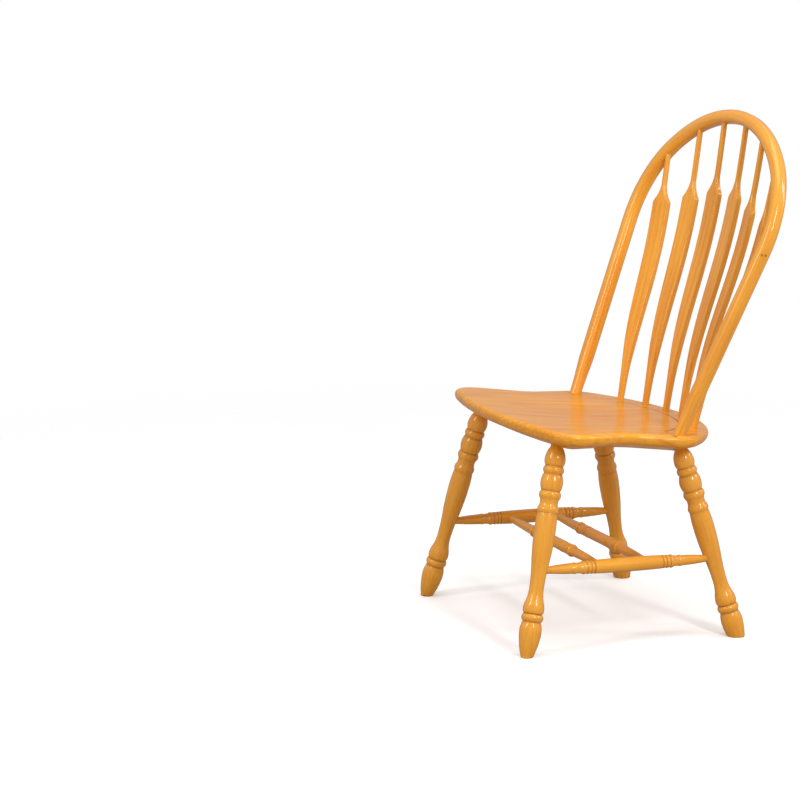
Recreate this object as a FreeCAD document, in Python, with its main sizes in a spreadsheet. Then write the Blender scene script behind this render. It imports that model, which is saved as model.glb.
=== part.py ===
"""Bow-back dining chair in solid wood: glued seat, four turned legs braced by four turned
stretchers, a bent bow and six flattened spindles between the seat and the bow.

Millimetres, +Z up. The chair faces -Y and is symmetric about X = 0. While it is modelled, Y = 0
is the line through the bow's two feet on the top of the seat. At the end every piece is moved
along Y, so that the origin lies on the floor in the middle of the chair's overall box.
Left and right are the sitter's: left is +X.
"""
import FreeCAD, Part
import math
import os

import Sketcher
from FreeCAD import Placement, Rotation, Vector

doc = FreeCAD.newDocument("bow_back_chair")
sheet = doc.addObject("Spreadsheet::Sheet", "Sizes")

# Driving dimensions: alias, value, meaning.
SIZES = [
    ("seat_height", 416.0, "top of the seat above the floor, on the line of the bow's feet"),
    ("seat_tilt_deg", 4.8, "slope of the seat down towards the back"),
    ("seat_thickness", 35.0, "thickness of the glued seat blank"),
    ("seat_front", 310.0, "front edge ahead of the bow's feet"),
    ("seat_back", 147.0, "rear edge behind the bow's feet"),
    ("hip_half_width", 254.0, "half the width beside the bow's feet"),
    ("hip_radius", 67.0, "radius of the hip in plan"),
    ("waist_inset", 22.0, "how far the waist lies in from the hip"),
    ("waist_y", 108.0, "waist ahead of the bow's feet"),
    ("waist_radius", 80.0, "hollow radius of the waist in plan"),
    ("hip_behind_waist", 105.0, "widest place of the hip behind the waist"),
    ("corner_ahead_of_waist", 117.0, "widest place of a front corner ahead of the waist"),
    ("front_flare", 9.0, "how far the front corners reach out past the hips"),
    ("front_corner_radius", 57.0, "radius of a front corner in plan"),
    ("underside_bevel_in", 41.0, "how far the bevel under the rim reaches in"),
    ("underside_bevel_up", 14.5, "how far the bevel under the rim reaches up"),
    ("bevel_round", 11.0, "radius that softens the bevel's outer corner"),
    ("rim_round", 6.0, "radius of the top edge of the seat"),
    ("dish_radius", 186.0, "half the width of the shallow dish in the seat"),
    ("dish_depth", 5.0, "depth of the dish"),
    ("dish_y", 122.0, "middle of the dish ahead of the bow's feet"),
    ("groove_radius", 240.0, "radius of the carved line in front of the spindles"),
    ("groove_back", 90.0, "rearmost place of the carved line behind the bow's feet"),
    ("groove_end_x", 200.0, "where the carved line ends beside each bow foot"),
    ("groove_half_width", 1.6, "half the width of the carved line"),
    ("board_width", 96.0, "width of each of the three middle seat boards"),
    ("front_foot_x", 243.0, "front foot from the middle, on the floor"),
    ("front_foot_y", 326.0, "front foot ahead of the bow's feet, on the floor"),
    ("front_top_x", 176.0, "front leg from the middle, at the underside of the seat"),
    ("front_top_y", 240.0, "front leg ahead of the bow's feet, at the underside"),
    ("rear_foot_x", 246.0, "rear foot from the middle, on the floor"),
    ("rear_foot_y", 137.0, "rear foot behind the bow's feet, on the floor"),
    ("rear_top_x", 175.0, "rear leg from the middle, at the underside of the seat"),
    ("rear_top_y", 31.0, "rear leg behind the bow's feet, at the underside"),
    ("leg_tenon_dia", 25.0, "tenon of a leg in the seat"),
    ("leg_tenon_depth", 24.0, "how deep a leg's tenon goes into the seat"),
    ("neck_drop", 5.5, "start of the ball below the underside of the seat"),
    ("ball_dia", 41.0, "ball at the top of a leg"),
    ("ball_drop", 31.0, "middle of the ball below the underside of the seat"),
    ("ball_end_dia", 35.0, "foot of the ball"),
    ("ring_drop", 46.5, "top of the upper ring below the underside of the seat"),
    ("ring_height", 15.0, "height of the upper ring"),
    ("ring_dia", 41.2, "upper ring"),
    ("groove_dia", 35.4, "bottom of the grooves between the upper turnings"),
    ("vase_height", 31.5, "height of the short vase"),
    ("vase_dia", 44.4, "belly of the short vase"),
    ("vase_end_dia", 37.0, "ends of the short vase"),
    ("disc_height", 14.5, "height of the disc under the short vase"),
    ("disc_dia", 44.2, "disc under the short vase"),
    ("cove_height", 16.0, "height of the cove under the disc"),
    ("cove_dia", 35.4, "bottom of the cove"),
    ("cove_end_dia", 38.4, "ends of the cove"),
    ("collar_height", 12.0, "height of the collar under the cove"),
    ("collar_dia", 42.2, "collar"),
    ("long_top_dia", 38.8, "top of the long vase"),
    ("long_belly_dia", 42.4, "belly of the long vase"),
    ("long_belly_drop", 28.0, "belly below the collar"),
    ("ankle_waist_dia", 28.4, "thinnest place of the leg"),
    ("ankle_waist_height", 133.0, "thinnest place above the front foot"),
    ("flare_dia", 41.6, "flare above the ankle ring"),
    ("flare_height", 92.7, "flare above the front foot"),
    ("ankle_top", 85.0, "top of the ankle ring above the front foot"),
    ("ankle_height", 16.0, "height of the ankle ring"),
    ("ankle_dia", 43.0, "ankle ring"),
    ("ankle_groove_dia", 35.0, "grooves above and below the ankle ring"),
    ("bulb_top_dia", 37.0, "top of the foot's bulb"),
    ("bulb_dia", 43.6, "foot's bulb"),
    ("bulb_height", 49.5, "widest place of the bulb above the front foot"),
    ("foot_dia", 25.3, "sole of a front foot"),
    ("sole_trim", 5.0, "length left on a leg's end, to be sawn level with the floor"),
    ("flare_end_dia", 38.8, "lower end of the flare, above the ankle ring"),
    ("fillet", 1.2, "height of the small steps between the turnings"),
    ("glue_gap", 0.2, "clearance round every tenon"),
    ("socket_spare", 1.0, "empty depth under every tenon"),
    ("stretcher_height_front", 162.5, "side stretchers above the floor, in the front legs"),
    ("stretcher_height_rear", 157.0, "side stretchers above the floor, in the rear legs"),
    ("side_end_dia", 14.6, "ends of a side stretcher, which are its tenons"),
    ("side_past_axis", 4.0, "how far a side stretcher goes past the middle of the leg"),
    ("side_taper_dia", 21.2, "thick end of a side stretcher's taper"),
    ("side_taper_end", 72.0, "thick end of the taper from the middle of the leg"),
    ("side_bead_dia", 22.8, "first bead of a side stretcher"),
    ("side_bead_width", 8.0, "width of the first bead"),
    ("side_ring_dia", 26.6, "ring of a side stretcher"),
    ("side_ring_at", 92.0, "outer edge of the ring from the middle of the leg"),
    ("side_ring_width", 8.0, "width of the ring"),
    ("side_groove_dia", 23.6, "grooves beside the ring"),
    ("side_pair_dia", 26.6, "pair of beads next to the barrel"),
    ("side_pair_width", 8.0, "width of each of the two beads"),
    ("side_barrel_end_dia", 26.8, "ends of the barrel"),
    ("side_barrel_dia", 28.8, "barrel of a side stretcher"),
    ("cross_front_at", 137.0, "front cross stretcher, along the side stretcher"),
    ("cross_rear_at", 242.0, "rear cross stretcher, along the side stretcher"),
    ("cross_end_dia", 12.0, "ends of a cross stretcher, which are its tenons"),
    ("cross_past_axis", 3.0, "how far a cross stretcher goes past the middle of the side one"),
    ("cross_taper_dia", 20.0, "thick end of a cross stretcher's taper"),
    ("cross_ring_from_middle", 90.0, "outer edge of the end ring from the middle"),
    ("cross_ring_width", 9.0, "width of the end ring"),
    ("cross_ring_dia", 25.6, "end ring"),
    ("cross_bead_dia", 23.6, "small beads"),
    ("cross_bead_width", 6.0, "width of a small bead"),
    ("cross_groove_dia", 20.4, "grooves between the turnings"),
    ("cross_bead_from_middle", 55.0, "outer edge of the middle pair of beads"),
    ("cross_segment_dia", 22.8, "short barrels between the beads"),
    ("bow_lean_deg", 21.5, "lean of the bow from upright"),
    ("bow_foot_x", 226.0, "bow's foot from the middle, at the top of the seat"),
    ("bow_reach", 638.5, "top of the bow's centre line from its feet, along the lean"),
    ("bow_half_width", 276.0, "widest place of the bow's centre line from the middle"),
    ("bow_top_radius", 310.0, "radius of the top of the bow"),
    ("bow_shoulder_radius", 200.0, "radius of the bow's shoulders"),
    ("bow_section", 28.0, "side of the bow's square section"),
    ("bow_corner", 7.0, "rounding of the section's corners"),
    ("bow_tenon_dia", 24.0, "round ends of the bow, which go into the seat"),
    ("bow_tenon_depth", 26.0, "how deep the bow's ends go into the seat"),
    ("bow_taper_length", 38.0, "length over which the bow's foot becomes round"),
    ("bow_foot_round", 3.0, "length of the round foot that shows above the seat"),
    ("screw_shank_dia", 4.0, "shank of the screw under each bow foot"),
    ("screw_length", 30.0, "length of that screw under its head"),
    ("screw_head_dia", 8.0, "head of that screw"),
    ("screw_head_height", 2.6, "height of that head"),
    ("screw_web", 5.0, "wood between the bow's tenon and the screw's head"),
    ("screw_clearance", 0.2, "clearance round the screw and its head"),
    ("spindle_arc_radius", 314.0, "radius of the row of spindles on the seat"),
    ("spindle_arc_back", 113.0, "rearmost place of that row behind the bow's feet"),
    ("spindle_pitch_deg", 12.0, "angle between spindles in that row"),
    ("spindle_turn", 0.7, "share of its angle in the row by which a spindle is turned"),
    ("spindle_foot_dia", 14.4, "round foot of a spindle, which is its lower tenon"),
    ("spindle_foot_depth", 16.0, "how deep a spindle goes into the seat"),
    ("spindle_neck_dia", 11.6, "round neck of a spindle, which is its upper tenon"),
    ("spindle_neck_depth", 13.0, "how deep a spindle goes into the bow"),
    ("paddle_width", 41.0, "widest place of the flat of a spindle"),
    ("paddle_thickness", 12.0, "thickness of the flat"),
    ("paddle_corner", 2.6, "rounding of the edges of the flat"),
    ("shoulder_length", 26.0, "length of the sloping shoulders above the flat"),
    ("shoulder_up_inner", 453.5, "shoulders of the two inner spindles above the seat"),
    ("shoulder_up_middle", 435.5, "shoulders of the two middle spindles above the seat"),
    ("shoulder_up_outer", 420.5, "shoulders of the two outer spindles above the seat"),
    ("top_x_inner", 43.5, "inner spindles from the middle, at the bow"),
    ("top_x_middle", 126.0, "middle spindles from the middle, at the bow"),
    ("top_x_outer", 216.0, "outer spindles from the middle, at the bow"),
    ("bend_forward", 4.5, "how far a spindle bends forward low down"),
    ("bend_back", 11.0, "how far it bends back higher up"),
]

for row, (alias, number, meaning) in enumerate(SIZES, start=1):
    sheet.set("A%d" % row, meaning)
    sheet.set("B%d" % row, str(number))
    sheet.setAlias("B%d" % row, alias)
doc.recompute()

VALUE = {alias: float(sheet.get(alias)) for alias, number, meaning in SIZES}
SIDES = (("left", 1), ("right", -1))


def cell(alias):
    """The expression that reads a cell from any object of the document."""
    return "Sizes." + alias


def worth(expression):
    """The number that an expression over the cells gives now."""
    return float(sheet.evalExpression(expression.replace("Sizes.", "")))


def from_z_to(direction):
    """Rotation that turns +Z to the direction."""
    return Rotation(Vector(0, 0, 1), direction)


def attach(sketch, body, role, offset=None):
    """Put a sketch on one of its own body's origin planes."""
    plane = [f for f in body.Origin.OriginFeatures if f.Role == role][0]
    sketch.AttachmentSupport = [(plane, "")]
    sketch.MapMode = "FlatFace"
    if offset is not None:
        sketch.AttachmentOffset = offset


def constrain(sketch, rules):
    """Add constraints in one go. A rule is (constraint,) or (constraint, expression for its size)."""
    first = sketch.ConstraintCount
    sketch.addConstraint([rule[0] for rule in rules])
    for index, rule in enumerate(rules, start=first):
        if len(rule) > 1:
            sketch.setExpression("Constraints[%d]" % index, rule[1])


# Turned pieces: a half profile of straights and arcs, revolved about its own axis.

def ogee(start, end, share):
    """Two arcs from start to end, flat at both ends, which meet at share of the way."""
    (a1, r1), (a2, r2) = start, end
    middle_a = "(%s + (%s - %s) * %s)" % (a1, a2, a1, share)
    middle_r = "(%s + (%s - %s) * %s)" % (r1, r2, r1, share)
    return [(a1, r1, flat_end(r1, middle_r)), (middle_a, middle_r, flat_end(r2, middle_r))]


def flat_end(flat_radius, other_radius):
    """How far an arc swells that runs flat at one end, negative where it is hollow."""
    return "(%s - %s) / 4" % (flat_radius, other_radius)


def swell(crest, end):
    """How far an arc swells whose two ends have one diameter."""
    return "(%s - %s)" % (half(crest), half(end))


def half(alias):
    return "%s / 2" % cell(alias)


def add_profile_piece(sketch, start, end, sag):
    """Add a straight or an arc, and give its index and which ends are its start and end."""
    if sag is None:
        return sketch.addGeometry(Part.LineSegment(start, end)), 1, 2
    along = (end - start).normalize()
    outward = Vector(along.y, -along.x, 0)
    if outward.x < 0:
        outward = -outward
    middle = (start + end) * 0.5 + outward * sag
    index = sketch.addGeometry(Part.Arc(start, middle, end))
    kept_order = sketch.getPoint(index, 1).distanceToPoint(start) < 1e-6
    return (index, 1, 2) if kept_order else (index, 2, 1)


def turned(name, stations, placement):
    """A body revolved from stations of (distance along the axis, radius, curve to the next)."""
    body = doc.addObject("PartDesign::Body", name)
    sketch = body.newObject("Sketcher::SketchObject", name + "_profile")
    attach(sketch, body, "XZ_Plane")
    points = [Vector(worth(r), worth(a), 0) for a, r, curve in stations]
    pieces = []
    for here, there, (a, r, curve) in zip(points, points[1:], stations):
        sag = None if curve is None else worth(curve)
        pieces.append(add_profile_piece(sketch, here, there, sag))
    foot, top = Vector(0, points[0].y, 0), Vector(0, points[-1].y, 0)
    for here, there in ((points[-1], top), (top, foot), (foot, points[0])):
        pieces.append(add_profile_piece(sketch, here, there, None))
    rules = []
    for (one, s1, e1), (two, s2, e2) in zip(pieces, pieces[1:] + pieces[:1]):
        rules.append((Sketcher.Constraint("Coincident", one, e1, two, s2),))
    for (index, begin, end), (a, r, curve) in zip(pieces, stations):
        rules.append((Sketcher.Constraint("DistanceX", -1, 1, index, begin, worth(r)), r))
        rules.append((Sketcher.Constraint("DistanceY", -1, 1, index, begin, worth(a)), a))
    for (index, begin, end), first, second in zip(pieces, stations, stations[1:]):
        if first[2] is not None:
            square = "((%s) - (%s))^2 + ((%s) - (%s))^2" % (second[0], first[0], second[1], first[1])
            radius = "(%s) / (8 * abs(%s)) + abs(%s) / 2" % (square, first[2], first[2])
            rules.append((Sketcher.Constraint("Radius", index, worth(radius)), radius))
    last = pieces[len(stations) - 1][0]
    rules.append((Sketcher.Constraint("Horizontal", last),))
    rules.append((Sketcher.Constraint("Horizontal", last + 2),))
    rules.append((Sketcher.Constraint("PointOnObject", last, 2, -2),))
    rules.append((Sketcher.Constraint("PointOnObject", last + 1, 2, -2),))
    constrain(sketch, rules)
    turning = body.newObject("PartDesign::Revolution", name + "_turning")
    turning.Profile = sketch
    turning.ReferenceAxis = (sketch, ["V_Axis"])
    turning.Angle = 360.0
    sketch.Visibility = False
    body.Placement = placement
    return body


def drill(name, diameter, clearance, length, start, direction):
    """A round cutter of its piece's diameter and clearance, from start along direction."""
    cutter = doc.addObject("Part::Cylinder", name)
    cutter.setExpression("Radius", "%s / 2 + %s" % (diameter, clearance))
    cutter.setExpression("Height", length)
    cutter.Placement = Placement(start, from_z_to(direction))
    return cutter


def cut(name, base, cutters):
    """The base less its cutters, as the finished sub-part."""
    tool = cutters[0]
    if len(cutters) > 1:
        tool = doc.addObject("Part::MultiFuse", name + "_cutters")
        tool.Shapes = cutters
    piece = doc.addObject("Part::Cut", name)
    piece.Base = base
    piece.Tool = tool
    return piece


# Where things are, worked out from the driving dimensions.

TILT = math.radians(VALUE["seat_tilt_deg"])
LEAN = math.radians(VALUE["bow_lean_deg"])
GAP = cell("glue_gap")
SPARE = cell("socket_spare")


def on_seat(x, y):
    """The point of the seat's top plane at x, y."""
    return Vector(x, y, VALUE["seat_height"] - math.tan(TILT) * y)


def under_seat(x, y):
    """The point of the seat's underside at x, y."""
    thickness = VALUE["seat_thickness"]
    return on_seat(x, y) - Vector(0, 0, thickness / math.cos(TILT))


def at_height(foot, direction, height):
    """The point of the line from foot along direction at a height above the floor."""
    return foot + direction * ((height - foot.z) / direction.z)


def in_bow_plane(x, up):
    """The point of the bow's plane at x and at a distance up from its feet."""
    return Vector(x, up * math.sin(LEAN), VALUE["seat_height"] + up * math.cos(LEAN))


finished = {}


def finish(piece, node):
    piece.Label = node
    finished[node] = piece
    return piece


# Legs: one turning for all four, whose rear pair is sawn shorter at the foot.

def leg_line(place, side):
    """Floor point, underside point and direction of a leg."""
    way = -1 if place == "front" else 1
    foot = Vector(side * VALUE[place + "_foot_x"], way * VALUE[place + "_foot_y"], 0)
    top = under_seat(side * VALUE[place + "_top_x"], way * VALUE[place + "_top_y"])
    return foot, top, (top - foot).normalize()


LEG_LENGTH = max((leg_line(place, 1)[1] - leg_line(place, 1)[0]).Length for place in ("front", "rear"))
sheet.set("B%d" % (len(SIZES) + 1), str(LEG_LENGTH))
sheet.set("A%d" % (len(SIZES) + 1), "length of the leg turning below the seat, worked out")
sheet.setAlias("B%d" % (len(SIZES) + 1), "leg_length")
doc.recompute()


def leg_stations():
    """The leg from the end below its sole to the end of its tenon."""
    top = cell("leg_length")
    ring = "(%s - %s)" % (top, cell("ring_drop"))
    vase = "(%s - %s)" % (ring, cell("ring_height"))
    disc = "(%s - %s)" % (vase, cell("vase_height"))
    cove = "(%s - %s)" % (disc, cell("disc_height"))
    collar = "(%s - %s)" % (cove, cell("cove_height"))
    long_top = "(%s - %s)" % (collar, cell("collar_height"))
    belly = "(%s - %s)" % (long_top, cell("long_belly_drop"))
    ankle_foot = "(%s - %s)" % (cell("ankle_top"), cell("ankle_height"))
    waist = (cell("ankle_waist_height"), half("ankle_waist_dia"))
    lower = [
        ("(0 - %s)" % cell("sole_trim"), half("foot_dia"), None),
        ("0", half("foot_dia"), flat_end(half("bulb_dia"), half("foot_dia"))),
        (cell("bulb_height"), half("bulb_dia"), flat_end(half("bulb_dia"), half("bulb_top_dia"))),
        (ankle_foot + " - " + cell("fillet"), half("bulb_top_dia"), None),
        (ankle_foot, half("ankle_groove_dia"), swell("ankle_dia", "ankle_groove_dia")),
        (cell("ankle_top"), half("ankle_groove_dia"), None),
        (cell("ankle_top") + " + " + cell("fillet"), half("flare_end_dia"),
         flat_end(half("flare_dia"), half("flare_end_dia"))),
    ]
    shaft = ogee((cell("flare_height"), half("flare_dia")), waist, "0.36")
    shaft += ogee(waist, (belly, half("long_belly_dia")), "0.4")
    upper = [
        (belly, half("long_belly_dia"), flat_end(half("long_belly_dia"), half("long_top_dia"))),
        (long_top, half("long_top_dia"), None),
        (long_top + " + " + cell("fillet"), half("cove_end_dia"), swell("collar_dia", "cove_end_dia")),
        (collar, half("cove_end_dia"), swell("cove_dia", "cove_end_dia")),
        (cove, half("cove_end_dia"), swell("disc_dia", "cove_end_dia")),
        (disc, half("vase_end_dia"), swell("vase_dia", "vase_end_dia")),
        (vase, half("vase_end_dia"), None),
        (vase + " + " + cell("fillet"), half("groove_dia"), swell("ring_dia", "groove_dia")),
        (ring, half("groove_dia"), None),
        (ring + " + " + cell("fillet"), half("ball_end_dia"), flat_end(half("ball_dia"), half("ball_end_dia"))),
        ("(%s - %s)" % (top, cell("ball_drop")), half("ball_dia"), flat_end(half("ball_dia"), half("leg_tenon_dia"))),
        ("(%s - %s)" % (top, cell("neck_drop")), half("leg_tenon_dia"), None),
        ("(%s + %s)" % (top, cell("leg_tenon_depth")), half("leg_tenon_dia"), None),
    ]
    return lower + shaft + upper


def side_stretcher_ends(side):
    front_foot, front_top, front_way = leg_line("front", side)
    rear_foot, rear_top, rear_way = leg_line("rear", side)
    return (at_height(front_foot, front_way, VALUE["stretcher_height_front"]),
            at_height(rear_foot, rear_way, VALUE["stretcher_height_rear"]))


floor_block = doc.addObject("Part::Box", "below_floor")
floor_block.Length, floor_block.Width, floor_block.Height = 1000, 1000, 100
floor_block.Placement.Base = Vector(-500, -500, -100)


def make_leg(place, side_name, side):
    node = "leg_%s_%s" % (place, side_name)
    foot, top, way = leg_line(place, side)
    turning = turned(node + "_turned", leg_stations(),
                     Placement(top - way * LEG_LENGTH, from_z_to(way)))
    ends = side_stretcher_ends(side)
    here, there = ends if place == "front" else ends[::-1]
    inward = (there - here).normalize()
    start = here - inward * (VALUE["side_past_axis"] + VALUE["socket_spare"])
    socket = drill(node + "_socket", cell("side_end_dia"), GAP, half("long_belly_dia") + " * 2", start, inward)
    finish(cut(node, turning, [floor_block, socket]), node)


for place in ("front", "rear"):
    for side_name, side in SIDES:
        make_leg(place, side_name, side)


# Stretchers: two between the legs of each side, and two across between those.

def mirrored(stations, middle):
    """A profile from one end to its middle, and back to the other end."""
    whole = list(stations)
    for first, second in reversed(list(zip(stations, stations[1:]))):
        whole.append(("(2 * %s - (%s))" % (middle, first[0]), first[1], None))
        whole[-2] = (whole[-2][0], whole[-2][1], first[2])
    return whole


def side_stretcher_stations(middle):
    """A side stretcher, measured along it from the middle of its front leg."""
    ring = cell("side_ring_at")
    pair = "(%s + %s + %s)" % (ring, cell("side_ring_width"), cell("fillet"))
    second = "(%s + %s)" % (pair, cell("side_pair_width"))
    barrel = "(%s + %s)" % (second, cell("side_pair_width"))
    bead_end = "(%s + %s)" % (cell("side_taper_end"), cell("side_bead_width"))
    stations = [
        ("(0 - %s)" % cell("side_past_axis"), half("side_end_dia"), None),
        (half("long_belly_dia"), half("side_end_dia"), "0.5"),
        (cell("side_taper_end"), half("side_taper_dia"), swell("side_bead_dia", "side_taper_dia")),
        (bead_end, half("side_taper_dia"), "0 - 0.4"),
        (ring, half("side_groove_dia"), swell("side_ring_dia", "side_groove_dia")),
        ("(%s + %s)" % (ring, cell("side_ring_width")), half("side_groove_dia"), None),
        (pair, half("side_groove_dia"), swell("side_pair_dia", "side_groove_dia")),
        (second, half("side_groove_dia"), swell("side_pair_dia", "side_groove_dia")),
        (barrel, half("side_groove_dia"), None),
        ("(%s + %s)" % (barrel, cell("fillet")), half("side_barrel_end_dia"),
         flat_end(half("side_barrel_dia"), half("side_barrel_end_dia"))),
        (middle, half("side_barrel_dia"), None),
    ]
    return mirrored(stations, middle)


def cross_stretcher_stations(middle):
    """A cross stretcher, measured along it from the middle of its left side stretcher."""
    ring = "(%s - %s)" % (middle, cell("cross_ring_from_middle"))
    ring_end = "(%s + %s)" % (ring, cell("cross_ring_width"))
    bead = "(%s + %s)" % (ring_end, cell("fillet"))
    bead_end = "(%s + %s)" % (bead, cell("cross_bead_width"))
    pair = "(%s - %s)" % (middle, cell("cross_bead_from_middle"))
    second = "(%s + %s)" % (pair, cell("cross_bead_width"))
    pair_end = "(%s + %s)" % (second, cell("cross_bead_width"))
    step = " + " + cell("fillet")
    stations = [
        ("(0 - %s)" % cell("cross_past_axis"), half("cross_end_dia"), None),
        (half("side_barrel_dia"), half("cross_end_dia"), "0.5"),
        (ring + " - " + cell("fillet"), half("cross_taper_dia"), None),
        (ring, half("cross_groove_dia"), swell("cross_ring_dia", "cross_groove_dia")),
        (ring_end, half("cross_groove_dia"), None),
        (bead, half("cross_groove_dia"), swell("cross_bead_dia", "cross_groove_dia")),
        (bead_end, half("cross_groove_dia"), None),
        (bead_end + step, half("cross_segment_dia"), None),
        (pair + " - " + cell("fillet"), half("cross_segment_dia"), None),
        (pair, half("cross_groove_dia"), swell("cross_bead_dia", "cross_groove_dia")),
        (second, half("cross_groove_dia"), swell("cross_bead_dia", "cross_groove_dia")),
        (pair_end, half("cross_groove_dia"), None),
        (pair_end + step, half("cross_segment_dia"), None),
        (middle + " - " + cell("fillet"), half("cross_segment_dia"), None),
        (middle, half("cross_groove_dia"), None),
    ]
    return mirrored(stations, middle)


def worked_out(alias, number, meaning):
    """A length that follows from the driving dimensions, kept in the sheet under a name."""
    row = worked_out.next_row
    worked_out.next_row += 1
    sheet.set("A%d" % row, meaning)
    sheet.set("B%d" % row, str(number))
    sheet.setAlias("B%d" % row, alias)
    doc.recompute()
    return cell(alias)


worked_out.next_row = len(SIZES) + 2

side_front, side_rear = side_stretcher_ends(1)
SIDE_MIDDLE = worked_out("side_middle", (side_rear - side_front).Length / 2, "half the side stretcher")


def along_side_stretcher(side, distance):
    front, rear = side_stretcher_ends(side)
    return front + (rear - front).normalize() * distance


CROSS_MIDDLE = {}
for place in ("front", "rear"):
    distance = VALUE["cross_%s_at" % place]
    span = along_side_stretcher(1, distance) - along_side_stretcher(-1, distance)
    CROSS_MIDDLE[place] = worked_out("cross_%s_middle" % place, span.Length / 2, "half the cross stretcher")

for side_name, side in SIDES:
    node = "stretcher_side_" + side_name
    front, rear = side_stretcher_ends(side)
    turning = turned(node + "_turned", side_stretcher_stations(SIDE_MIDDLE),
                     Placement(front, from_z_to(rear - front)))
    sockets = []
    for place in ("front", "rear"):
        here = along_side_stretcher(side, VALUE["cross_%s_at" % place])
        inward = Vector(-side, 0, 0)
        start = here - inward * (VALUE["cross_past_axis"] + VALUE["socket_spare"])
        sockets.append(drill("%s_%s_socket" % (node, place), cell("cross_end_dia"), GAP,
                             cell("side_barrel_dia"), start, inward))
    finish(cut(node, turning, sockets), node)

for place in ("front", "rear"):
    node = "stretcher_cross_" + place
    start = along_side_stretcher(1, VALUE["cross_%s_at" % place])
    finish(turned(node, cross_stretcher_stations(CROSS_MIDDLE[place]),
                  Placement(start, from_z_to(Vector(-1, 0, 0)))), node)


# Rounded sections, shared by the bow and the spindles.

def rounded_section(body, name, role, offset, width, depth, corner):
    """A rectangle of width by depth with rounded corners, round where corner is half of both."""
    sketch = body.newObject("Sketcher::SketchObject", name)
    attach(sketch, body, role, offset)
    w, d, r = worth(width) / 2, worth(depth) / 2, worth(corner)
    corners = [(w - r, d - r, 0), (-w + r, d - r, 90), (-w + r, -d + r, 180), (w - r, -d + r, 270)]
    arcs = []
    for x, y, start in corners:
        circle = Part.Circle(Vector(x, y, 0), Vector(0, 0, 1), r)
        arcs.append(sketch.addGeometry(
            Part.ArcOfCircle(circle, math.radians(start), math.radians(start + 90))))
    rules = []
    for here, there in zip(arcs, arcs[1:] + arcs[:1]):
        begin = sketch.getPoint(here, 2)
        end = sketch.getPoint(there, 1)
        line = sketch.addGeometry(Part.LineSegment(begin, end))
        rules.append((Sketcher.Constraint("Tangent", here, 2, line, 1),))
        rules.append((Sketcher.Constraint("Tangent", line, 2, there, 1),))
        direction = "Horizontal" if abs(begin.y - end.y) < 1e-9 else "Vertical"
        rules.append((Sketcher.Constraint(direction, line),))
    for here, there in zip(arcs, arcs[1:]):
        rules.append((Sketcher.Constraint("Equal", here, there),))
    rules.append((Sketcher.Constraint("Symmetric", arcs[0], 3, arcs[2], 3, -1, 1),))
    rules.append((Sketcher.Constraint("Radius", arcs[0], r), corner))
    rules.append((Sketcher.Constraint("DistanceX", arcs[1], 3, arcs[0], 3, 2 * (w - r)),
                  "%s - 2 * (%s)" % (width, corner)))
    rules.append((Sketcher.Constraint("DistanceY", arcs[3], 3, arcs[0], 3, 2 * (d - r)),
                  "%s - 2 * (%s)" % (depth, corner)))
    constrain(sketch, rules)
    sketch.Visibility = False
    return sketch


ROUND = "(%s / 2 - 0.1)"


# Bow: a bent square stick with rounded corners, whose feet are whittled round.

FOOT = Vector(VALUE["bow_foot_x"], 0, 0)
SHOULDER_CENTRE_X = VALUE["bow_half_width"] - VALUE["bow_shoulder_radius"]
TOP_CENTRE_UP = VALUE["bow_reach"] - VALUE["bow_top_radius"]
centres_apart = VALUE["bow_top_radius"] - VALUE["bow_shoulder_radius"]
SHOULDER_CENTRE_UP = TOP_CENTRE_UP + math.sqrt(centres_apart ** 2 - SHOULDER_CENTRE_X ** 2)
shoulder_centre = Vector(SHOULDER_CENTRE_X, SHOULDER_CENTRE_UP, 0)
top_centre = Vector(0, TOP_CENTRE_UP, 0)


def tangent_point(point, centre, radius):
    """Where the line from point touches the circle, on its +X side."""
    away = point - centre
    turn = math.acos(radius / away.Length)
    angle = math.atan2(away.y, away.x) + turn
    return centre + Vector(math.cos(angle), math.sin(angle), 0) * radius


straight_end = tangent_point(FOOT, shoulder_centre, VALUE["bow_shoulder_radius"])
LEG_WAY = (straight_end - FOOT).normalize()
shoulder_end = top_centre + (shoulder_centre - top_centre).normalize() * VALUE["bow_top_radius"]
BOW_TURN = Rotation(Vector(1, 0, 0), 90 - VALUE["bow_lean_deg"])
BOW_PLACE = Placement(on_seat(0, 0), BOW_TURN)


def flip(point):
    return Vector(-point.x, point.y, point.z)


def shoulder_middle(side):
    towards = (straight_end + shoulder_end) * 0.5 - shoulder_centre
    middle = shoulder_centre + towards.normalize() * VALUE["bow_shoulder_radius"]
    return middle if side > 0 else flip(middle)


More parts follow.
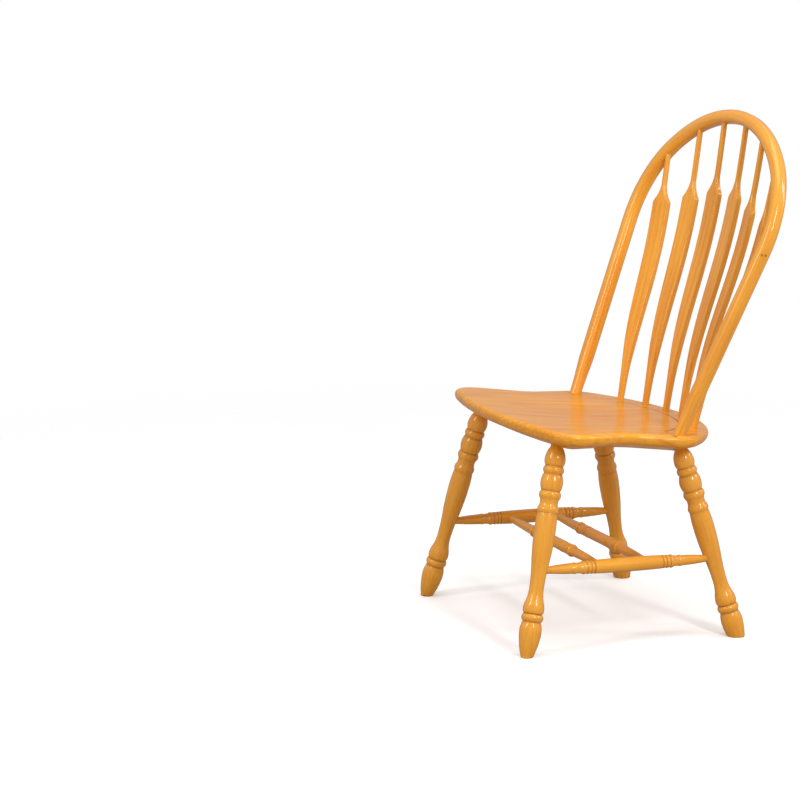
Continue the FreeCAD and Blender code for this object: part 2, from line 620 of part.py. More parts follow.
def bow_path(body, taper_end):
    """The centre line above the round feet: straight, shoulder, top, shoulder, straight."""
    path = body.newObject("Sketcher::SketchObject", "bow_path")
    attach(path, body, "XY_Plane")
    top = Vector(0, VALUE["bow_reach"], 0)
    path.addGeometry(Part.LineSegment(taper_end, straight_end))
    path.addGeometry(Part.Arc(straight_end, shoulder_middle(1), shoulder_end))
    path.addGeometry(Part.Arc(shoulder_end, top, flip(shoulder_end)))
    path.addGeometry(Part.Arc(flip(shoulder_end), shoulder_middle(-1), flip(straight_end)))
    path.addGeometry(Part.LineSegment(flip(straight_end), flip(taper_end)))
    rules = [(Sketcher.Constraint("Tangent", here, 2, here + 1, 1),) for here in range(4)]
    rules += [
        (Sketcher.Constraint("Equal", 1, 3),),
        (Sketcher.Constraint("Symmetric", 0, 1, 4, 2, -2),),
        (Sketcher.Constraint("Symmetric", 1, 3, 3, 3, -2),),
        (Sketcher.Constraint("Radius", 1, VALUE["bow_shoulder_radius"]), cell("bow_shoulder_radius")),
        (Sketcher.Constraint("Radius", 2, VALUE["bow_top_radius"]), cell("bow_top_radius")),
        (Sketcher.Constraint("DistanceY", -1, 1, 2, 3, TOP_CENTRE_UP),
         "%s - %s" % (cell("bow_reach"), cell("bow_top_radius"))),
        (Sketcher.Constraint("DistanceX", -1, 1, 1, 3, SHOULDER_CENTRE_X),
         "%s - %s" % (cell("bow_half_width"), cell("bow_shoulder_radius"))),
    ]
    constrain(path, rules)
    path.Visibility = False
    return path


def across_leg(side, distance):
    """Where a section of the bow's foot lies: square to the leg, at a distance along it."""
    way = LEG_WAY if side > 0 else flip(LEG_WAY)
    foot = FOOT if side > 0 else flip(FOOT)
    across = Vector(way.y, -way.x, 0)
    return Placement(foot + way * distance, Rotation(across, way.cross(across), way, "ZXY"))


bow_body = doc.addObject("PartDesign::Body", "bow_stick")
full_from = VALUE["bow_foot_round"] + VALUE["bow_taper_length"]
SQUARE = cell("bow_section")
pipe_path = bow_path(bow_body, FOOT + LEG_WAY * full_from)
stick_section = rounded_section(bow_body, "bow_section_left", "XY_Plane", across_leg(1, full_from),
                                SQUARE, SQUARE, cell("bow_corner"))
stick = bow_body.newObject("PartDesign::AdditivePipe", "bow_bend")
stick.Profile = stick_section
stick.Spine = pipe_path
for side_name, side in SIDES:
    thick = stick_section
    if side < 0:
        thick = rounded_section(bow_body, "bow_section_right", "XY_Plane", across_leg(-1, full_from),
                                SQUARE, SQUARE, cell("bow_corner"))
    dia = cell("bow_tenon_dia")
    thin = rounded_section(bow_body, "bow_foot_" + side_name, "XY_Plane",
                           across_leg(side, VALUE["bow_foot_round"]), dia, dia, ROUND % dia)
    foot = bow_body.newObject("PartDesign::AdditiveLoft", "bow_taper_" + side_name)
    foot.Profile = thin
    foot.Sections = [thick]
    tenon = bow_body.newObject("PartDesign::Pad", "bow_tenon_" + side_name)
    tenon.Profile = thin
    tenon.setExpression("Length", "%s + %s" % (cell("bow_tenon_depth"), cell("bow_foot_round")))
    tenon.Reversed = True
bow_body.Placement = BOW_PLACE


def bow_leg_way(side):
    """Direction up a leg of the bow, from its foot."""
    return BOW_TURN.multVec(LEG_WAY if side > 0 else flip(LEG_WAY))


# Spindles: round at both ends, flattened between, and bent twice to fit the back.

INNER_TOP = VALUE["bow_top_radius"] - VALUE["bow_section"] / 2
INNER_SHOULDER = VALUE["bow_shoulder_radius"] - VALUE["bow_section"] / 2


def under_bow(x):
    """The point of the bow's inner edge at x."""
    edge = abs(x)
    if edge / INNER_TOP <= SHOULDER_CENTRE_X / centres_apart:
        up = TOP_CENTRE_UP + math.sqrt(INNER_TOP ** 2 - edge ** 2)
    else:
        up = SHOULDER_CENTRE_UP + math.sqrt(INNER_SHOULDER ** 2 - (edge - SHOULDER_CENTRE_X) ** 2)
    return in_bow_plane(x, up)


def spindle_frame(place, side):
    """Foot point, placement and length of a spindle, whose local Z runs along its chord."""
    turn = math.radians(VALUE["spindle_pitch_deg"]) * (("inner", "middle", "outer").index(place) + 0.5)
    radius = VALUE["spindle_arc_radius"]
    centre_y = VALUE["spindle_arc_back"] - radius
    foot = on_seat(side * radius * math.sin(turn), centre_y + radius * math.cos(turn))
    top = under_bow(side * VALUE["top_x_" + place])
    along = (top - foot).normalize()
    face = -side * turn * VALUE["spindle_turn"]
    sideways = Vector(math.cos(face), math.sin(face), 0)
    back = along.cross(sideways).normalize()
    return foot, Placement(foot, Rotation(back.cross(along), back, along, "ZXY")), (top - foot).Length


# The bend's share and the section along a spindle: share of the way to the shoulders,
# width between the round foot (0) and the full flat (1), thickness the same way.
SPINDLE_SECTIONS = [(0.0, 0.0, 0.0), (0.14, 0.08, 0.2), (0.29, 0.42, 0.8), (0.44, 0.72, 1.0),
                    (0.66, 0.93, 1.0), (1.0, 1.0, 1.0)]


def bend(share):
    """How far back a spindle lies from its chord, at a share of its length."""
    low, high = 0.2, 0.68
    if share <= 0:
        return 0.0
    if share < low:
        return -VALUE["bend_forward"] * math.sin(math.pi / 2 * share / low)
    if share < high:
        blend = (1 - math.cos(math.pi * (share - low) / (high - low))) / 2
        return -VALUE["bend_forward"] + (VALUE["bend_forward"] + VALUE["bend_back"]) * blend
    if share < 1:
        return VALUE["bend_back"] * math.cos(math.pi / 2 * (share - high) / (1 - high))
    return 0.0


def make_spindle(place, side_name, side):
    node = "spindle_%s_%s" % (place, side_name)
    foot, frame, length = spindle_frame(place, side)
    body = doc.addObject("PartDesign::Body", node)
    flat = VALUE["shoulder_up_" + place]
    thin = cell("spindle_foot_dia")
    neck = cell("spindle_neck_dia")

    def section(tag, distance, width, depth, corner):
        offset = Placement(Vector(0, bend(distance / length), distance), Rotation())
        return rounded_section(body, "%s_%s" % (node, tag), "XY_Plane", offset, width, depth, corner)

    def loft(tag, sections, ruled=False):
        part = body.newObject("PartDesign::AdditiveLoft", "%s_%s" % (node, tag))
        part.Profile = sections[0]
        part.Sections = sections[1:]
        part.Ruled = ruled

    blade = []
    for number, (share, wide, flattened) in enumerate(SPINDLE_SECTIONS):
        width = "(%s + (%s - %s) * %s)" % (thin, cell("paddle_width"), thin, wide)
        depth = "(%s + (%s - %s) * %s)" % (thin, cell("paddle_thickness"), thin, flattened)
        corner = ROUND % depth if flattened < 0.5 else cell("paddle_corner")
        blade.append(section("blade_%d" % number, flat * share, width, depth, corner))
    loft("blade", blade)
    shoulder = VALUE["shoulder_length"]
    half_way = section("slope", flat + shoulder * 0.45,
                       "(%s + (%s - %s) * 0.4)" % (neck, cell("paddle_width"), neck),
                       neck, cell("paddle_corner"))
    neck_foot = section("neck_foot", flat + shoulder, neck, neck, ROUND % neck)
    loft("shoulders", [blade[-1], half_way, neck_foot], ruled=True)
    neck_middle = section("neck_middle", (flat + shoulder + length) / 2, neck, neck, ROUND % neck)
    neck_top = section("neck_top", length, neck, neck, ROUND % neck)
    loft("neck", [neck_foot, neck_middle, neck_top])
    for tag, sketch, depth, down in (("lower_tenon", blade[0], "spindle_foot_depth", True),
                                     ("upper_tenon", neck_top, "spindle_neck_depth", False)):
        tenon = body.newObject("PartDesign::Pad", "%s_%s" % (node, tag))
        tenon.Profile = sketch
        tenon.setExpression("Length", cell(depth))
        tenon.Reversed = down
    body.Placement = frame
    finish(body, node)
    along = frame.Rotation.multVec(Vector(0, 0, 1))
    top = foot + along * length
    lower = drill(node + "_lower_socket", thin, GAP, "%s * 2" % cell("spindle_foot_depth"),
                  foot - along * (VALUE["spindle_foot_depth"] + VALUE["socket_spare"]), along)
    upper = drill(node + "_upper_socket", neck, GAP, "%s * 3" % cell("spindle_neck_depth"),
                  top - along * VALUE["spindle_neck_depth"] * 2 + along * VALUE["socket_spare"], along)
    return lower, upper


seat_sockets = []
bow_sockets = []
for place in ("inner", "middle", "outer"):
    for side_name, side in SIDES:
        lower, upper = make_spindle(place, side_name, side)
        seat_sockets.append(lower)
        bow_sockets.append(upper)


# Seat: glued boards, shaped in one piece in plan, bevelled below and dished on top.

WAIST_X = "(%s - %s + %s)" % (cell("hip_half_width"), cell("waist_inset"), cell("waist_radius"))
CORNER_X = "(%s + %s - %s)" % (cell("hip_half_width"), cell("front_flare"), cell("front_corner_radius"))
HIP_X = "(%s - %s)" % (cell("hip_half_width"), cell("hip_radius"))
CORNER_Y = "(%s + %s)" % (cell("waist_y"), cell("corner_ahead_of_waist"))
HIP_Y = "(%s - %s)" % (cell("waist_y"), cell("hip_behind_waist"))


def rim_centres():
    """Centres of the arcs on the left half of the seat's outline, from front to back."""
    corner = Vector(worth(CORNER_X), -worth(CORNER_Y), 0)
    waist = Vector(worth(WAIST_X), -VALUE["waist_y"], 0)
    hip = Vector(worth(HIP_X), -worth(HIP_Y), 0)
    front = centre_on_axis(corner, VALUE["front_corner_radius"], -VALUE["seat_front"])
    back = centre_on_axis(hip, VALUE["hip_radius"], VALUE["seat_back"])
    return front, corner, waist, hip, back


def centre_on_axis(inner, inner_radius, end_y):
    """Centre, on X = 0, of the arc that starts at end_y and rolls into the inner circle."""
    away = 1 if end_y > 0 else -1
    reach = away * end_y - inner_radius
    along = away * inner.y
    centre = (inner.x ** 2 + along ** 2 - reach ** 2) / (2 * (along - reach))
    return Vector(0, away * centre, 0)


def crossing_tangent(one, one_radius, two, two_radius):
    """Touch points of the line that runs from circle one to circle two between them."""
    apart = two - one
    turn = math.acos((one_radius + two_radius) / apart.Length)
    best = None
    for sign in (1, -1):
        angle = math.atan2(apart.y, apart.x) + sign * turn
        outward = Vector(math.cos(angle), math.sin(angle), 0)
        if best is None or outward.x > best[2].x:
            best = (one + outward * one_radius, two - outward * two_radius, outward)
    return best[0], best[1]


def mid_arc(centre, here, there):
    """The point of the arc halfway between two of its points."""
    radius = (here - centre).Length
    return centre + ((here - centre) + (there - centre)).normalize() * radius


blank = doc.addObject("PartDesign::Body", "seat_blank")
outline = blank.newObject("Sketcher::SketchObject", "seat_outline")
attach(outline, blank, "XY_Plane")
front_c, corner_c, waist_c, hip_c, back_c = rim_centres()
corner_r, waist_r, hip_r = (VALUE[a] for a in ("front_corner_radius", "waist_radius", "hip_radius"))
front_edge = Vector(0, -VALUE["seat_front"], 0)
back_edge = Vector(0, VALUE["seat_back"], 0)
front_join = corner_c + (corner_c - front_c).normalize() * corner_r
corner_out, waist_in = crossing_tangent(corner_c, corner_r, waist_c, waist_r)
hip_in, waist_out = crossing_tangent(hip_c, hip_r, waist_c, waist_r)
back_join = hip_c + (hip_c - back_c).normalize() * hip_r
rim = [
    Part.Arc(front_edge, mid_arc(front_c, front_edge, front_join), front_join),
    Part.Arc(front_join, mid_arc(corner_c, front_join, corner_out), corner_out),
    Part.LineSegment(corner_out, waist_in),
    Part.Arc(waist_in, mid_arc(waist_c, waist_in, waist_out), waist_out),
    Part.LineSegment(waist_out, hip_in),
    Part.Arc(hip_in, mid_arc(hip_c, hip_in, back_join), back_join),
    Part.Arc(back_join, mid_arc(back_c, back_join, back_edge), back_edge),
    Part.LineSegment(back_edge, front_edge),
]
for piece in rim:
    outline.addGeometry(piece)
WAIST = 3


def rim_end(index, last):
    """Which end of a rim piece comes last (or first) on the way from front to back."""
    return 3 - (2 if last else 1) if index == WAIST else (2 if last else 1)


rules = []
for index in range(6):
    rules.append((Sketcher.Constraint("Tangent", index, rim_end(index, True),
                                      index + 1, rim_end(index + 1, False)),))
rules += [
    (Sketcher.Constraint("Coincident", 6, 2, 7, 1),),
    (Sketcher.Constraint("Coincident", 7, 2, 0, 1),),
    (Sketcher.Constraint("PointOnObject", 0, 3, -2),),
    (Sketcher.Constraint("PointOnObject", 6, 3, -2),),
    (Sketcher.Constraint("PointOnObject", 0, 1, -2),),
    (Sketcher.Constraint("PointOnObject", 6, 2, -2),),
    (Sketcher.Constraint("Radius", 1, corner_r), cell("front_corner_radius")),
    (Sketcher.Constraint("Radius", WAIST, waist_r), cell("waist_radius")),
    (Sketcher.Constraint("Radius", 5, hip_r), cell("hip_radius")),
    (Sketcher.Constraint("DistanceY", 0, 1, -1, 1, VALUE["seat_front"]), cell("seat_front")),
    (Sketcher.Constraint("DistanceY", -1, 1, 6, 2, VALUE["seat_back"]), cell("seat_back")),
    (Sketcher.Constraint("DistanceX", -1, 1, 1, 3, corner_c.x), CORNER_X),
    (Sketcher.Constraint("DistanceY", 1, 3, -1, 1, -corner_c.y), CORNER_Y),
    (Sketcher.Constraint("DistanceX", -1, 1, WAIST, 3, waist_c.x), WAIST_X),
    (Sketcher.Constraint("DistanceY", WAIST, 3, -1, 1, -waist_c.y), cell("waist_y")),
    (Sketcher.Constraint("DistanceX", -1, 1, 5, 3, hip_c.x), HIP_X),
    (Sketcher.Constraint("DistanceY", 5, 3, -1, 1, -hip_c.y), HIP_Y),
]
constrain(outline, rules)
outline.Visibility = False

slab = blank.newObject("PartDesign::Pad", "seat_slab")
slab.Profile = outline
slab.setExpression("Length", cell("seat_thickness"))
slab.Reversed = True
doc.recompute()
whole = blank.newObject("PartDesign::Mirrored", "seat_both_halves")
whole.Originals = [slab]
whole.MirrorPlane = ([f for f in blank.Origin.OriginFeatures if f.Role == "YZ_Plane"][0], [""])
blank.Tip = whole
doc.recompute()


def edges_at(shape, level):
    """Names of the outline's edges that lie at a level."""
    names = []
    for number, edge in enumerate(shape.Edges, start=1):
        box = edge.BoundBox
        if abs(box.ZMin - level) < 1e-4 and abs(box.ZMax - level) < 1e-4:
            names.append("Edge%d" % number)
    return names


bevel = blank.newObject("PartDesign::Chamfer", "underside_bevel")
bevel.Base = (whole, edges_at(whole.Shape, -VALUE["seat_thickness"]))
bevel.ChamferType = "Two distances"
bevel.setExpression("Size", cell("underside_bevel_up"))
bevel.setExpression("Size2", cell("underside_bevel_in"))
doc.recompute()
softened = blank.newObject("PartDesign::Fillet", "softened_bevel")
softened.Base = (bevel, edges_at(bevel.Shape, VALUE["underside_bevel_up"] - VALUE["seat_thickness"]))
softened.setExpression("Radius", cell("bevel_round"))
doc.recompute()
eased = blank.newObject("PartDesign::Fillet", "eased_rim")
eased.Base = (softened, edges_at(softened.Shape, 0))
eased.setExpression("Radius", cell("rim_round"))
doc.recompute()

dish = blank.newObject("PartDesign::SubtractiveSphere", "dish")
dish.setExpression("Radius", "%s^2 / (2 * %s) + %s / 2" % (
    cell("dish_radius"), cell("dish_depth"), cell("dish_depth")))
dish.setExpression(".Placement.Base.y", "0 - " + cell("dish_y"))
dish.setExpression(".Placement.Base.z", "%s^2 / (2 * %s) - %s / 2" % (
    cell("dish_radius"), cell("dish_depth"), cell("dish_depth")))

line_centre_y = VALUE["groove_back"] - VALUE["groove_radius"]
line_turn = math.asin(VALUE["groove_end_x"] / VALUE["groove_radius"])
line_end_y = line_centre_y + VALUE["groove_radius"] * math.cos(line_turn)
line = blank.newObject("PartDesign::SubtractiveTorus", "carved_line")
line.setExpression("Radius1", cell("groove_radius"))
line.setExpression("Radius2", cell("groove_half_width"))
line.setExpression("Angle3", "2 * asin(%s / %s)" % (cell("groove_end_x"), cell("groove_radius")))
line.Placement = Placement(Vector(0, line_centre_y, 0), Rotation(Vector(0, 0, 1), 90 - math.degrees(line_turn)))
for side_name, side in SIDES:
    tail = blank.newObject("PartDesign::SubtractiveCylinder", "carved_tail_" + side_name)
    tail.setExpression("Radius", cell("groove_half_width"))
    tail.setExpression("Height", cell("hip_half_width"))
    tail.Placement = Placement(Vector(side * VALUE["groove_end_x"], line_end_y, 0),
                               from_z_to(Vector(side, 0, 0)))
SEAT_PLACE = Placement(on_seat(0, 0), Rotation(Vector(1, 0, 0), -VALUE["seat_tilt_deg"]))
blank.Placement = SEAT_PLACE
doc.recompute()

for place in ("front", "rear"):
    for side_name, side in SIDES:
        foot, top, way = leg_line(place, side)
        neck = cell("neck_drop")
        seat_sockets.append(drill("leg_%s_%s_seat_socket" % (place, side_name), cell("leg_tenon_dia"), GAP,
                                  "%s + %s + %s" % (neck, cell("leg_tenon_depth"), SPARE),
                                  top - way * VALUE["neck_drop"], way))


# Screws: one from below into each foot of the bow.

def bow_foot(side, distance):
    """The point at a distance along the bow's leg, above the top of the seat."""
    return on_seat(side * VALUE["bow_foot_x"], 0) + bow_leg_way(side) * distance


screws = []
for side_name, side in SIDES:
    up = bow_leg_way(side)
    tenon_end = VALUE["bow_tenon_depth"] + VALUE["socket_spare"]
    seat_of_head = bow_foot(side, -tenon_end - VALUE["screw_web"])
    spare = cell("screw_clearance")
    seat_sockets.append(drill("bow_foot_socket_" + side_name, cell("bow_tenon_dia"), GAP,
                              "%s * 2" % cell("bow_tenon_depth"), bow_foot(side, -tenon_end), up))
    seat_sockets.append(drill("screw_hole_" + side_name, cell("screw_shank_dia"), spare,
                              cell("screw_length"), seat_of_head, up))
    seat_sockets.append(drill("screw_counterbore_" + side_name, cell("screw_head_dia"), spare,
                              cell("seat_thickness"), seat_of_head, up * -1))
    bow_sockets.append(drill("screw_pilot_" + side_name, cell("screw_shank_dia"), spare,
                             "%s + %s" % (cell("screw_length"), SPARE), seat_of_head, up))
    shank = drill("screw_shank_" + side_name, cell("screw_shank_dia"), "0",
                  cell("screw_length"), seat_of_head, up)
    head = drill("screw_head_" + side_name, cell("screw_head_dia"), "0",
                 cell("screw_head_height"), seat_of_head, up * -1)
    screw = doc.addObject("Part::Fuse", "screw_" + side_name)
    screw.Base, screw.Tool = shank, head
    screws.append(screw)
pair = doc.addObject("Part::Compound", "bow_screws")
pair.Links = screws
finish(pair, "bow_screws")

finish(cut("bow", bow_body, bow_sockets), "bow")

shaped = cut("shaped_seat", blank, seat_sockets)
BOARD_STARTS = (-4.5, -1.5, -0.5, 0.5, 1.5)
for number, start in enumerate(BOARD_STARTS, start=1):
    plank = doc.addObject("Part::Box", "plank_%d" % number)
    plank.setExpression("Length", "%s * %d" % (cell("board_width"), 1 if 1 < number < 5 else 3))
    plank.setExpression("Width", "4 * " + cell("seat_front"))
    plank.setExpression("Height", "4 * " + cell("seat_thickness"))
    corner = Vector(start * VALUE["board_width"], -2 * VALUE["seat_front"], -2 * VALUE["seat_thickness"])
    plank.Placement = SEAT_PLACE.multiply(Placement(corner, Rotation()))
    board = doc.addObject("Part::Common", "seat_board_%d" % number)
    board.Base, board.Tool = shaped, plank
    finish(board, "seat_board_%d" % number)
doc.recompute()


# Datum: the middle of the overall box along Y comes to Y = 0, by moving every finished piece.

boxes = [piece.Shape.optimalBoundingBox() for piece in finished.values()]
middle = (min(box.YMin for box in boxes) + max(box.YMax for box in boxes)) / 2
for piece in finished.values():
    piece.Placement = Placement(Vector(0, -middle, 0), Rotation()).multiply(piece.Placement)
doc.recompute()

for item in doc.Objects:
    if "Invalid" in item.State or "Error" in item.State:
        raise RuntimeError("%s could not be worked out: %s" % (item.Label, item.State))
for node, piece in finished.items():
    if piece.Shape.isNull() or not piece.Shape.isValid():
        raise RuntimeError("%s has no valid shape" % node)

os.makedirs("parts", exist_ok=True)
for node, piece in finished.items():
    piece.Shape.exportStep(os.path.join("parts", node + ".step"))
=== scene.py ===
"""Bow-back dining chair in honey-coloured lacquered wood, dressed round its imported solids.

Everything is in metres, +Z up, and the chair faces -Y. Sizes in the tables are in millimetres.
"""
import math

import bmesh
import bpy
from bpy.props import FloatProperty, FloatVectorProperty, PointerProperty
from mathutils import Matrix, Vector


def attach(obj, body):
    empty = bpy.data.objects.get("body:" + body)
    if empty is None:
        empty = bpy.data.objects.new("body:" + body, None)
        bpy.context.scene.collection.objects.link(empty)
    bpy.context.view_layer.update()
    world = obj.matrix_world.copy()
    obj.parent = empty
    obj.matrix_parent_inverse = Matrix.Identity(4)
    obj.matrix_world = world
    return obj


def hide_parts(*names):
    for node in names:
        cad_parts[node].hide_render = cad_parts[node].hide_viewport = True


bl_info = {
    "name": "Bow-back dining chair",
    "version": (1, 0, 0),
    "blender": (4, 5, 0),
    "location": "View3D > Sidebar > Chair",
    "description": "Builds a bow-back dining chair with turned legs and flattened spindles",
    "category": "Add Mesh",
}

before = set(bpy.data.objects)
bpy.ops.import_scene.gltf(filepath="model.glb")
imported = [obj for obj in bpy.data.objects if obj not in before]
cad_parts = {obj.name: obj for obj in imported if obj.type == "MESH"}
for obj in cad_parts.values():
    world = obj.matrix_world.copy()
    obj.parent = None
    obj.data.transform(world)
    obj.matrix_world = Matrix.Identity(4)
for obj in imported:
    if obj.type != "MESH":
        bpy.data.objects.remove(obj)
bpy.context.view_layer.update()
MM = 0.001
SIDES = (("left", 1), ("right", -1))

# The bow's feet stand on this line of the seat: the middle of the chair's box is at Y = 0.
BOW_LINE_Y = 0.04475

# The seat's outline in plan: centre and radius of each arc on the left half.
CORNER = Vector((206, -225, 0)), 57
WAIST = Vector((312, -108, 0)), 80
HIP = Vector((187, -3, 0)), 67
SEAT_FRONT, SEAT_BACK = -310, 147

# The seat's edge: the rounded top, and the softened bevel under it.
RIM_ROUND, BEVEL_ROUND, BEVEL_IN, BEVEL_UP = 9, 16, 41, 14.5

# The carved line in front of the spindles: radius, rearmost place, end beside a foot, half width.
LINE_RADIUS, LINE_BACK, LINE_END_X, LINE_HALF_WIDTH = 240, 90, 200, 1.6

# Where the glued boards of the seat meet.
SEAMS = (-300, -144, -48, 48, 144, 300)

# Feet on the floor and tops under the seat, for the left leg of each pair.
LEG_ENDS = {
    "front": ((243, -326), (176, -240)),
    "rear": ((246, 137), (175, 31)),
}
STRETCHER_HEIGHT = {"front": 162.5, "rear": 157.0}
CROSS_AT = {"front": 137.0, "rear": 242.0}

# Spindles: place in the row from the middle, height of the shoulders, and X at the bow.
SPINDLES = {
    "inner": (0.5, 453.5, 43.5),
    "middle": (1.5, 435.5, 126.0),
    "outer": (2.5, 420.5, 216.0),
}
# Their feet stand on an arc of the seat, this many degrees apart. A blade faces its foot's place
# on the arc by this share.
ROW_RADIUS, ROW_BACK, ROW_PITCH, ROW_FACING = 314, 113, 12, 0.7

# Share of the way to the shoulders, and how wide and how flat the blade is there.
BLADE = [(0.0, 0.0, 0.0), (0.14, 0.08, 0.2), (0.29, 0.42, 0.8), (0.44, 0.72, 1.0),
         (0.66, 0.93, 1.0), (1.0, 1.0, 1.0)]
# From this share of the way on, the blade's corners have their full sharpness.
BLADE_EDGED = 0.35

# The shoulders above the blade: share of the way up to the neck, and how wide it still is.
SHOULDER = [(0.0, 1.0), (0.32, 0.5), (0.63, 0.17), (1.0, 0.0)]

# Sizes of a spindle in metres: its round foot and neck, the corners of its blade, the height of
# its shoulders, and how far it runs into the seat and the bow.
SPINDLE_FOOT, SPINDLE_NECK, BLADE_CORNER, SHOULDER_SLOPE = 0.014, 0.0116, 0.0022, 0.04
SPINDLE_IN_SEAT, SPINDLE_IN_BOW = 0.016, 0.013

# Sizes of the bow in metres: its foot in the seat, the round end above the seat, the way from
# round to square, the thickness of the foot, and the rounded corners of the square.
BOW_IN_SEAT, BOW_ROUND, BOW_TAPER, BOW_FOOT, BOW_CORNER = 0.026, 0.003, 0.085, 0.024, 0.0105

# Corner radius of a round section, as a share of half its side.
NEARLY_ROUND = 0.985

# Points nearer to each other than this, in metres, are one.
SAME_POINT = 1e-6

# The hollow of the seat in metres: its middle and its radius. The top is cut into a grid between
# these places, for X and for Y.
DISH_Y, DISH_RADIUS, DISH_GRID = -0.122, 0.205, 0.012
DISH_SPAN = ((-0.252, 0.252), (-0.3, 0.138))

# Two small dark knots on the left arm of the bow, the radius of a knot and of its stain.
KNOTS = ((0.2878, 0.1771, 0.7722), (0.2884, 0.1850, 0.7712))
KNOT_HEART, KNOT_REACH = 0.0023, 0.0052

# The woods: strength and scale of the rings, strength of the streaks, of the darkening painted
# into grooves and of the lacquer, and how deep the painted shade gets where the surface turns away
# from the camera.
WOODS = {
    "turned": (0.16, 30.0, 0.22, 0.55, 0.8, 0.8),
    "bent": (0.22, 30.0, 0.3, 0.5, 0.8, 0.8),
    "spindle": (0.3, 30.0, 0.3, 0.5, 0.8, 0.8),
    "seat": (0.22, 24.0, 0.5, 0.9, 0.35, 0.35),
}

# Lights: place, height of the point they shine at, size, and power in watts.
LIGHTS = {
    "overhead": ((0.2, 0.0, 3.2), 0.4, (2.0, 2.0), 33),
    "right_strip": ((3.0, 0.2, 2.3), 0.5, (0.5, 1.3), 45),
    "left_strip": ((0.5, -3.0, 2.3), 0.5, (0.5, 1.3), 30),
    "back_strip": ((1.3, 2.7, 2.2), 0.5, (0.5, 1.3), 18),
}
# The world's strength for the camera and for the rest, and how much less is mirrored.
BACKDROP, AMBIENT, LESS_MIRRORED = 1.0, 0.55, 0.05

# The floor: its radius, and the distances from the middle between which it fades.
FLOOR_RADIUS, FLOOR_FADE = 3.2, (0.9, 2.6)
# Its colour for the chair and for the camera, and the light it adds for the camera alone.
FLOOR_GREY, FLOOR_PALE = (0.42, 0.37, 0.32, 1), (0.93, 0.93, 0.93, 1)
FLOOR_LIFT = (0.2, 0.2, 0.2, 1)

# The photo's camera: place, then azimuth, elevation and roll in degrees, then lens and sensor.
CAMERA_PLACE = (4.8477, -2.5748 + BOW_LINE_Y, 1.4976)
CAMERA_TURN = (66.81, 11.01, 1.066)
CAMERA_LENS, CAMERA_SENSOR = 123.626, 36.0


class ChairSizes(bpy.types.PropertyGroup):
    """Main sizes of the chair. Their defaults agree with the solids."""
    seat_height: FloatProperty(
        name="Seat height", description="Top of the seat above the floor, beside the bow's feet",
        default=0.416, min=0.3, max=0.6, unit="LENGTH")
    seat_tilt: FloatProperty(
        name="Seat tilt", description="Slope of the seat down towards the back",
        default=math.radians(4.8), min=0, max=0.3, subtype="ANGLE")
    seat_thickness: FloatProperty(
        name="Seat thickness", description="Thickness of the glued boards",
        default=0.035, min=0.02, max=0.06, unit="LENGTH")
    dish_depth: FloatProperty(
        name="Dish depth", description="Depth of the hollow in the seat",
        default=0.005, min=0, max=0.02, unit="LENGTH")
    bow_lean: FloatProperty(
        name="Bow lean", description="Lean of the bow from upright",
        default=math.radians(21.5), min=0, max=0.7, subtype="ANGLE")
    bow_reach: FloatProperty(
        name="Bow reach", description="Top of the bow's centre line from its feet, along the lean",
        default=0.6385, min=0.4, max=0.9, unit="LENGTH")
    bow_foot_x: FloatProperty(
        name="Bow foot", description="Bow's foot from the middle, at the top of the seat",
        default=0.226, min=0.1, max=0.4, unit="LENGTH")
    bow_half_width: FloatProperty(
        name="Bow half width", description="Widest place of the bow's centre line from the middle",
        default=0.276, min=0.2, max=0.4, unit="LENGTH")
    bow_top_radius: FloatProperty(
        name="Bow top radius", description="Radius of the top of the bow",
        default=0.310, min=0.2, max=0.6, unit="LENGTH")
    bow_shoulder_radius: FloatProperty(
        name="Bow shoulder radius", description="Radius of the bow's shoulders",
        default=0.200, min=0.1, max=0.3, unit="LENGTH")
    bow_section: FloatProperty(
        name="Bow thickness", description="Side of the bow's square section",
        default=0.028, min=0.015, max=0.05, unit="LENGTH")
    paddle_width: FloatProperty(
        name="Spindle width", description="Widest place of the flat of a spindle",
        default=0.041, min=0.02, max=0.08, unit="LENGTH")
    paddle_thickness: FloatProperty(
        name="Spindle thickness", description="Thickness of the flat of a spindle",
        default=0.012, min=0.006, max=0.02, unit="LENGTH")


class ChairFinish(bpy.types.PropertyGroup):
    """Colours and gloss of the chair."""
    light_wood: FloatVectorProperty(
        name="Light wood", description="Colour of the pale bands of the grain",
        subtype="COLOR", size=3, default=(0.90, 0.40, 0.036), min=0, max=1)
    dark_wood: FloatVectorProperty(
        name="Dark wood", description="Colour of the dark bands of the grain",
        subtype="COLOR", size=3, default=(0.62, 0.19, 0.010), min=0, max=1)
    # Painted shade: this colour darkens the wood where its surface turns away from the camera.
    painted_edge_shade: FloatVectorProperty(
        name="Edge tone", description="Deeper colour of the lacquer where the surface turns away",
        subtype="COLOR", size=3, default=(0.42, 0.11, 0.006), min=0, max=1)
    # The same dark colour fills the pores and the knots, and the grooves are painted darker
    # towards it.
    glaze: FloatVectorProperty(
        name="Dark Colour", description="Colour that the stain leaves in grooves and pores",
        subtype="COLOR", size=3, default=(0.22, 0.055, 0.008), min=0, max=1)
    lacquer_roughness: FloatProperty(
        name="Lacquer roughness", description="Roughness of the clear lacquer",
        default=0.15, min=0.02, max=0.6, subtype="FACTOR")
    screw_metal: FloatVectorProperty(
        name="Screw metal", description="Colour of the plated screws under the seat",
        subtype="COLOR", size=3, default=(0.62, 0.60, 0.55), min=0, max=1)


# Places shared by the pieces

def on_seat(sizes, x, y):
    """The point of the seat's top plane at x, y, in metres from the bow line."""
    return Vector((x, y + BOW_LINE_Y, sizes.seat_height - math.tan(sizes.seat_tilt) * y))


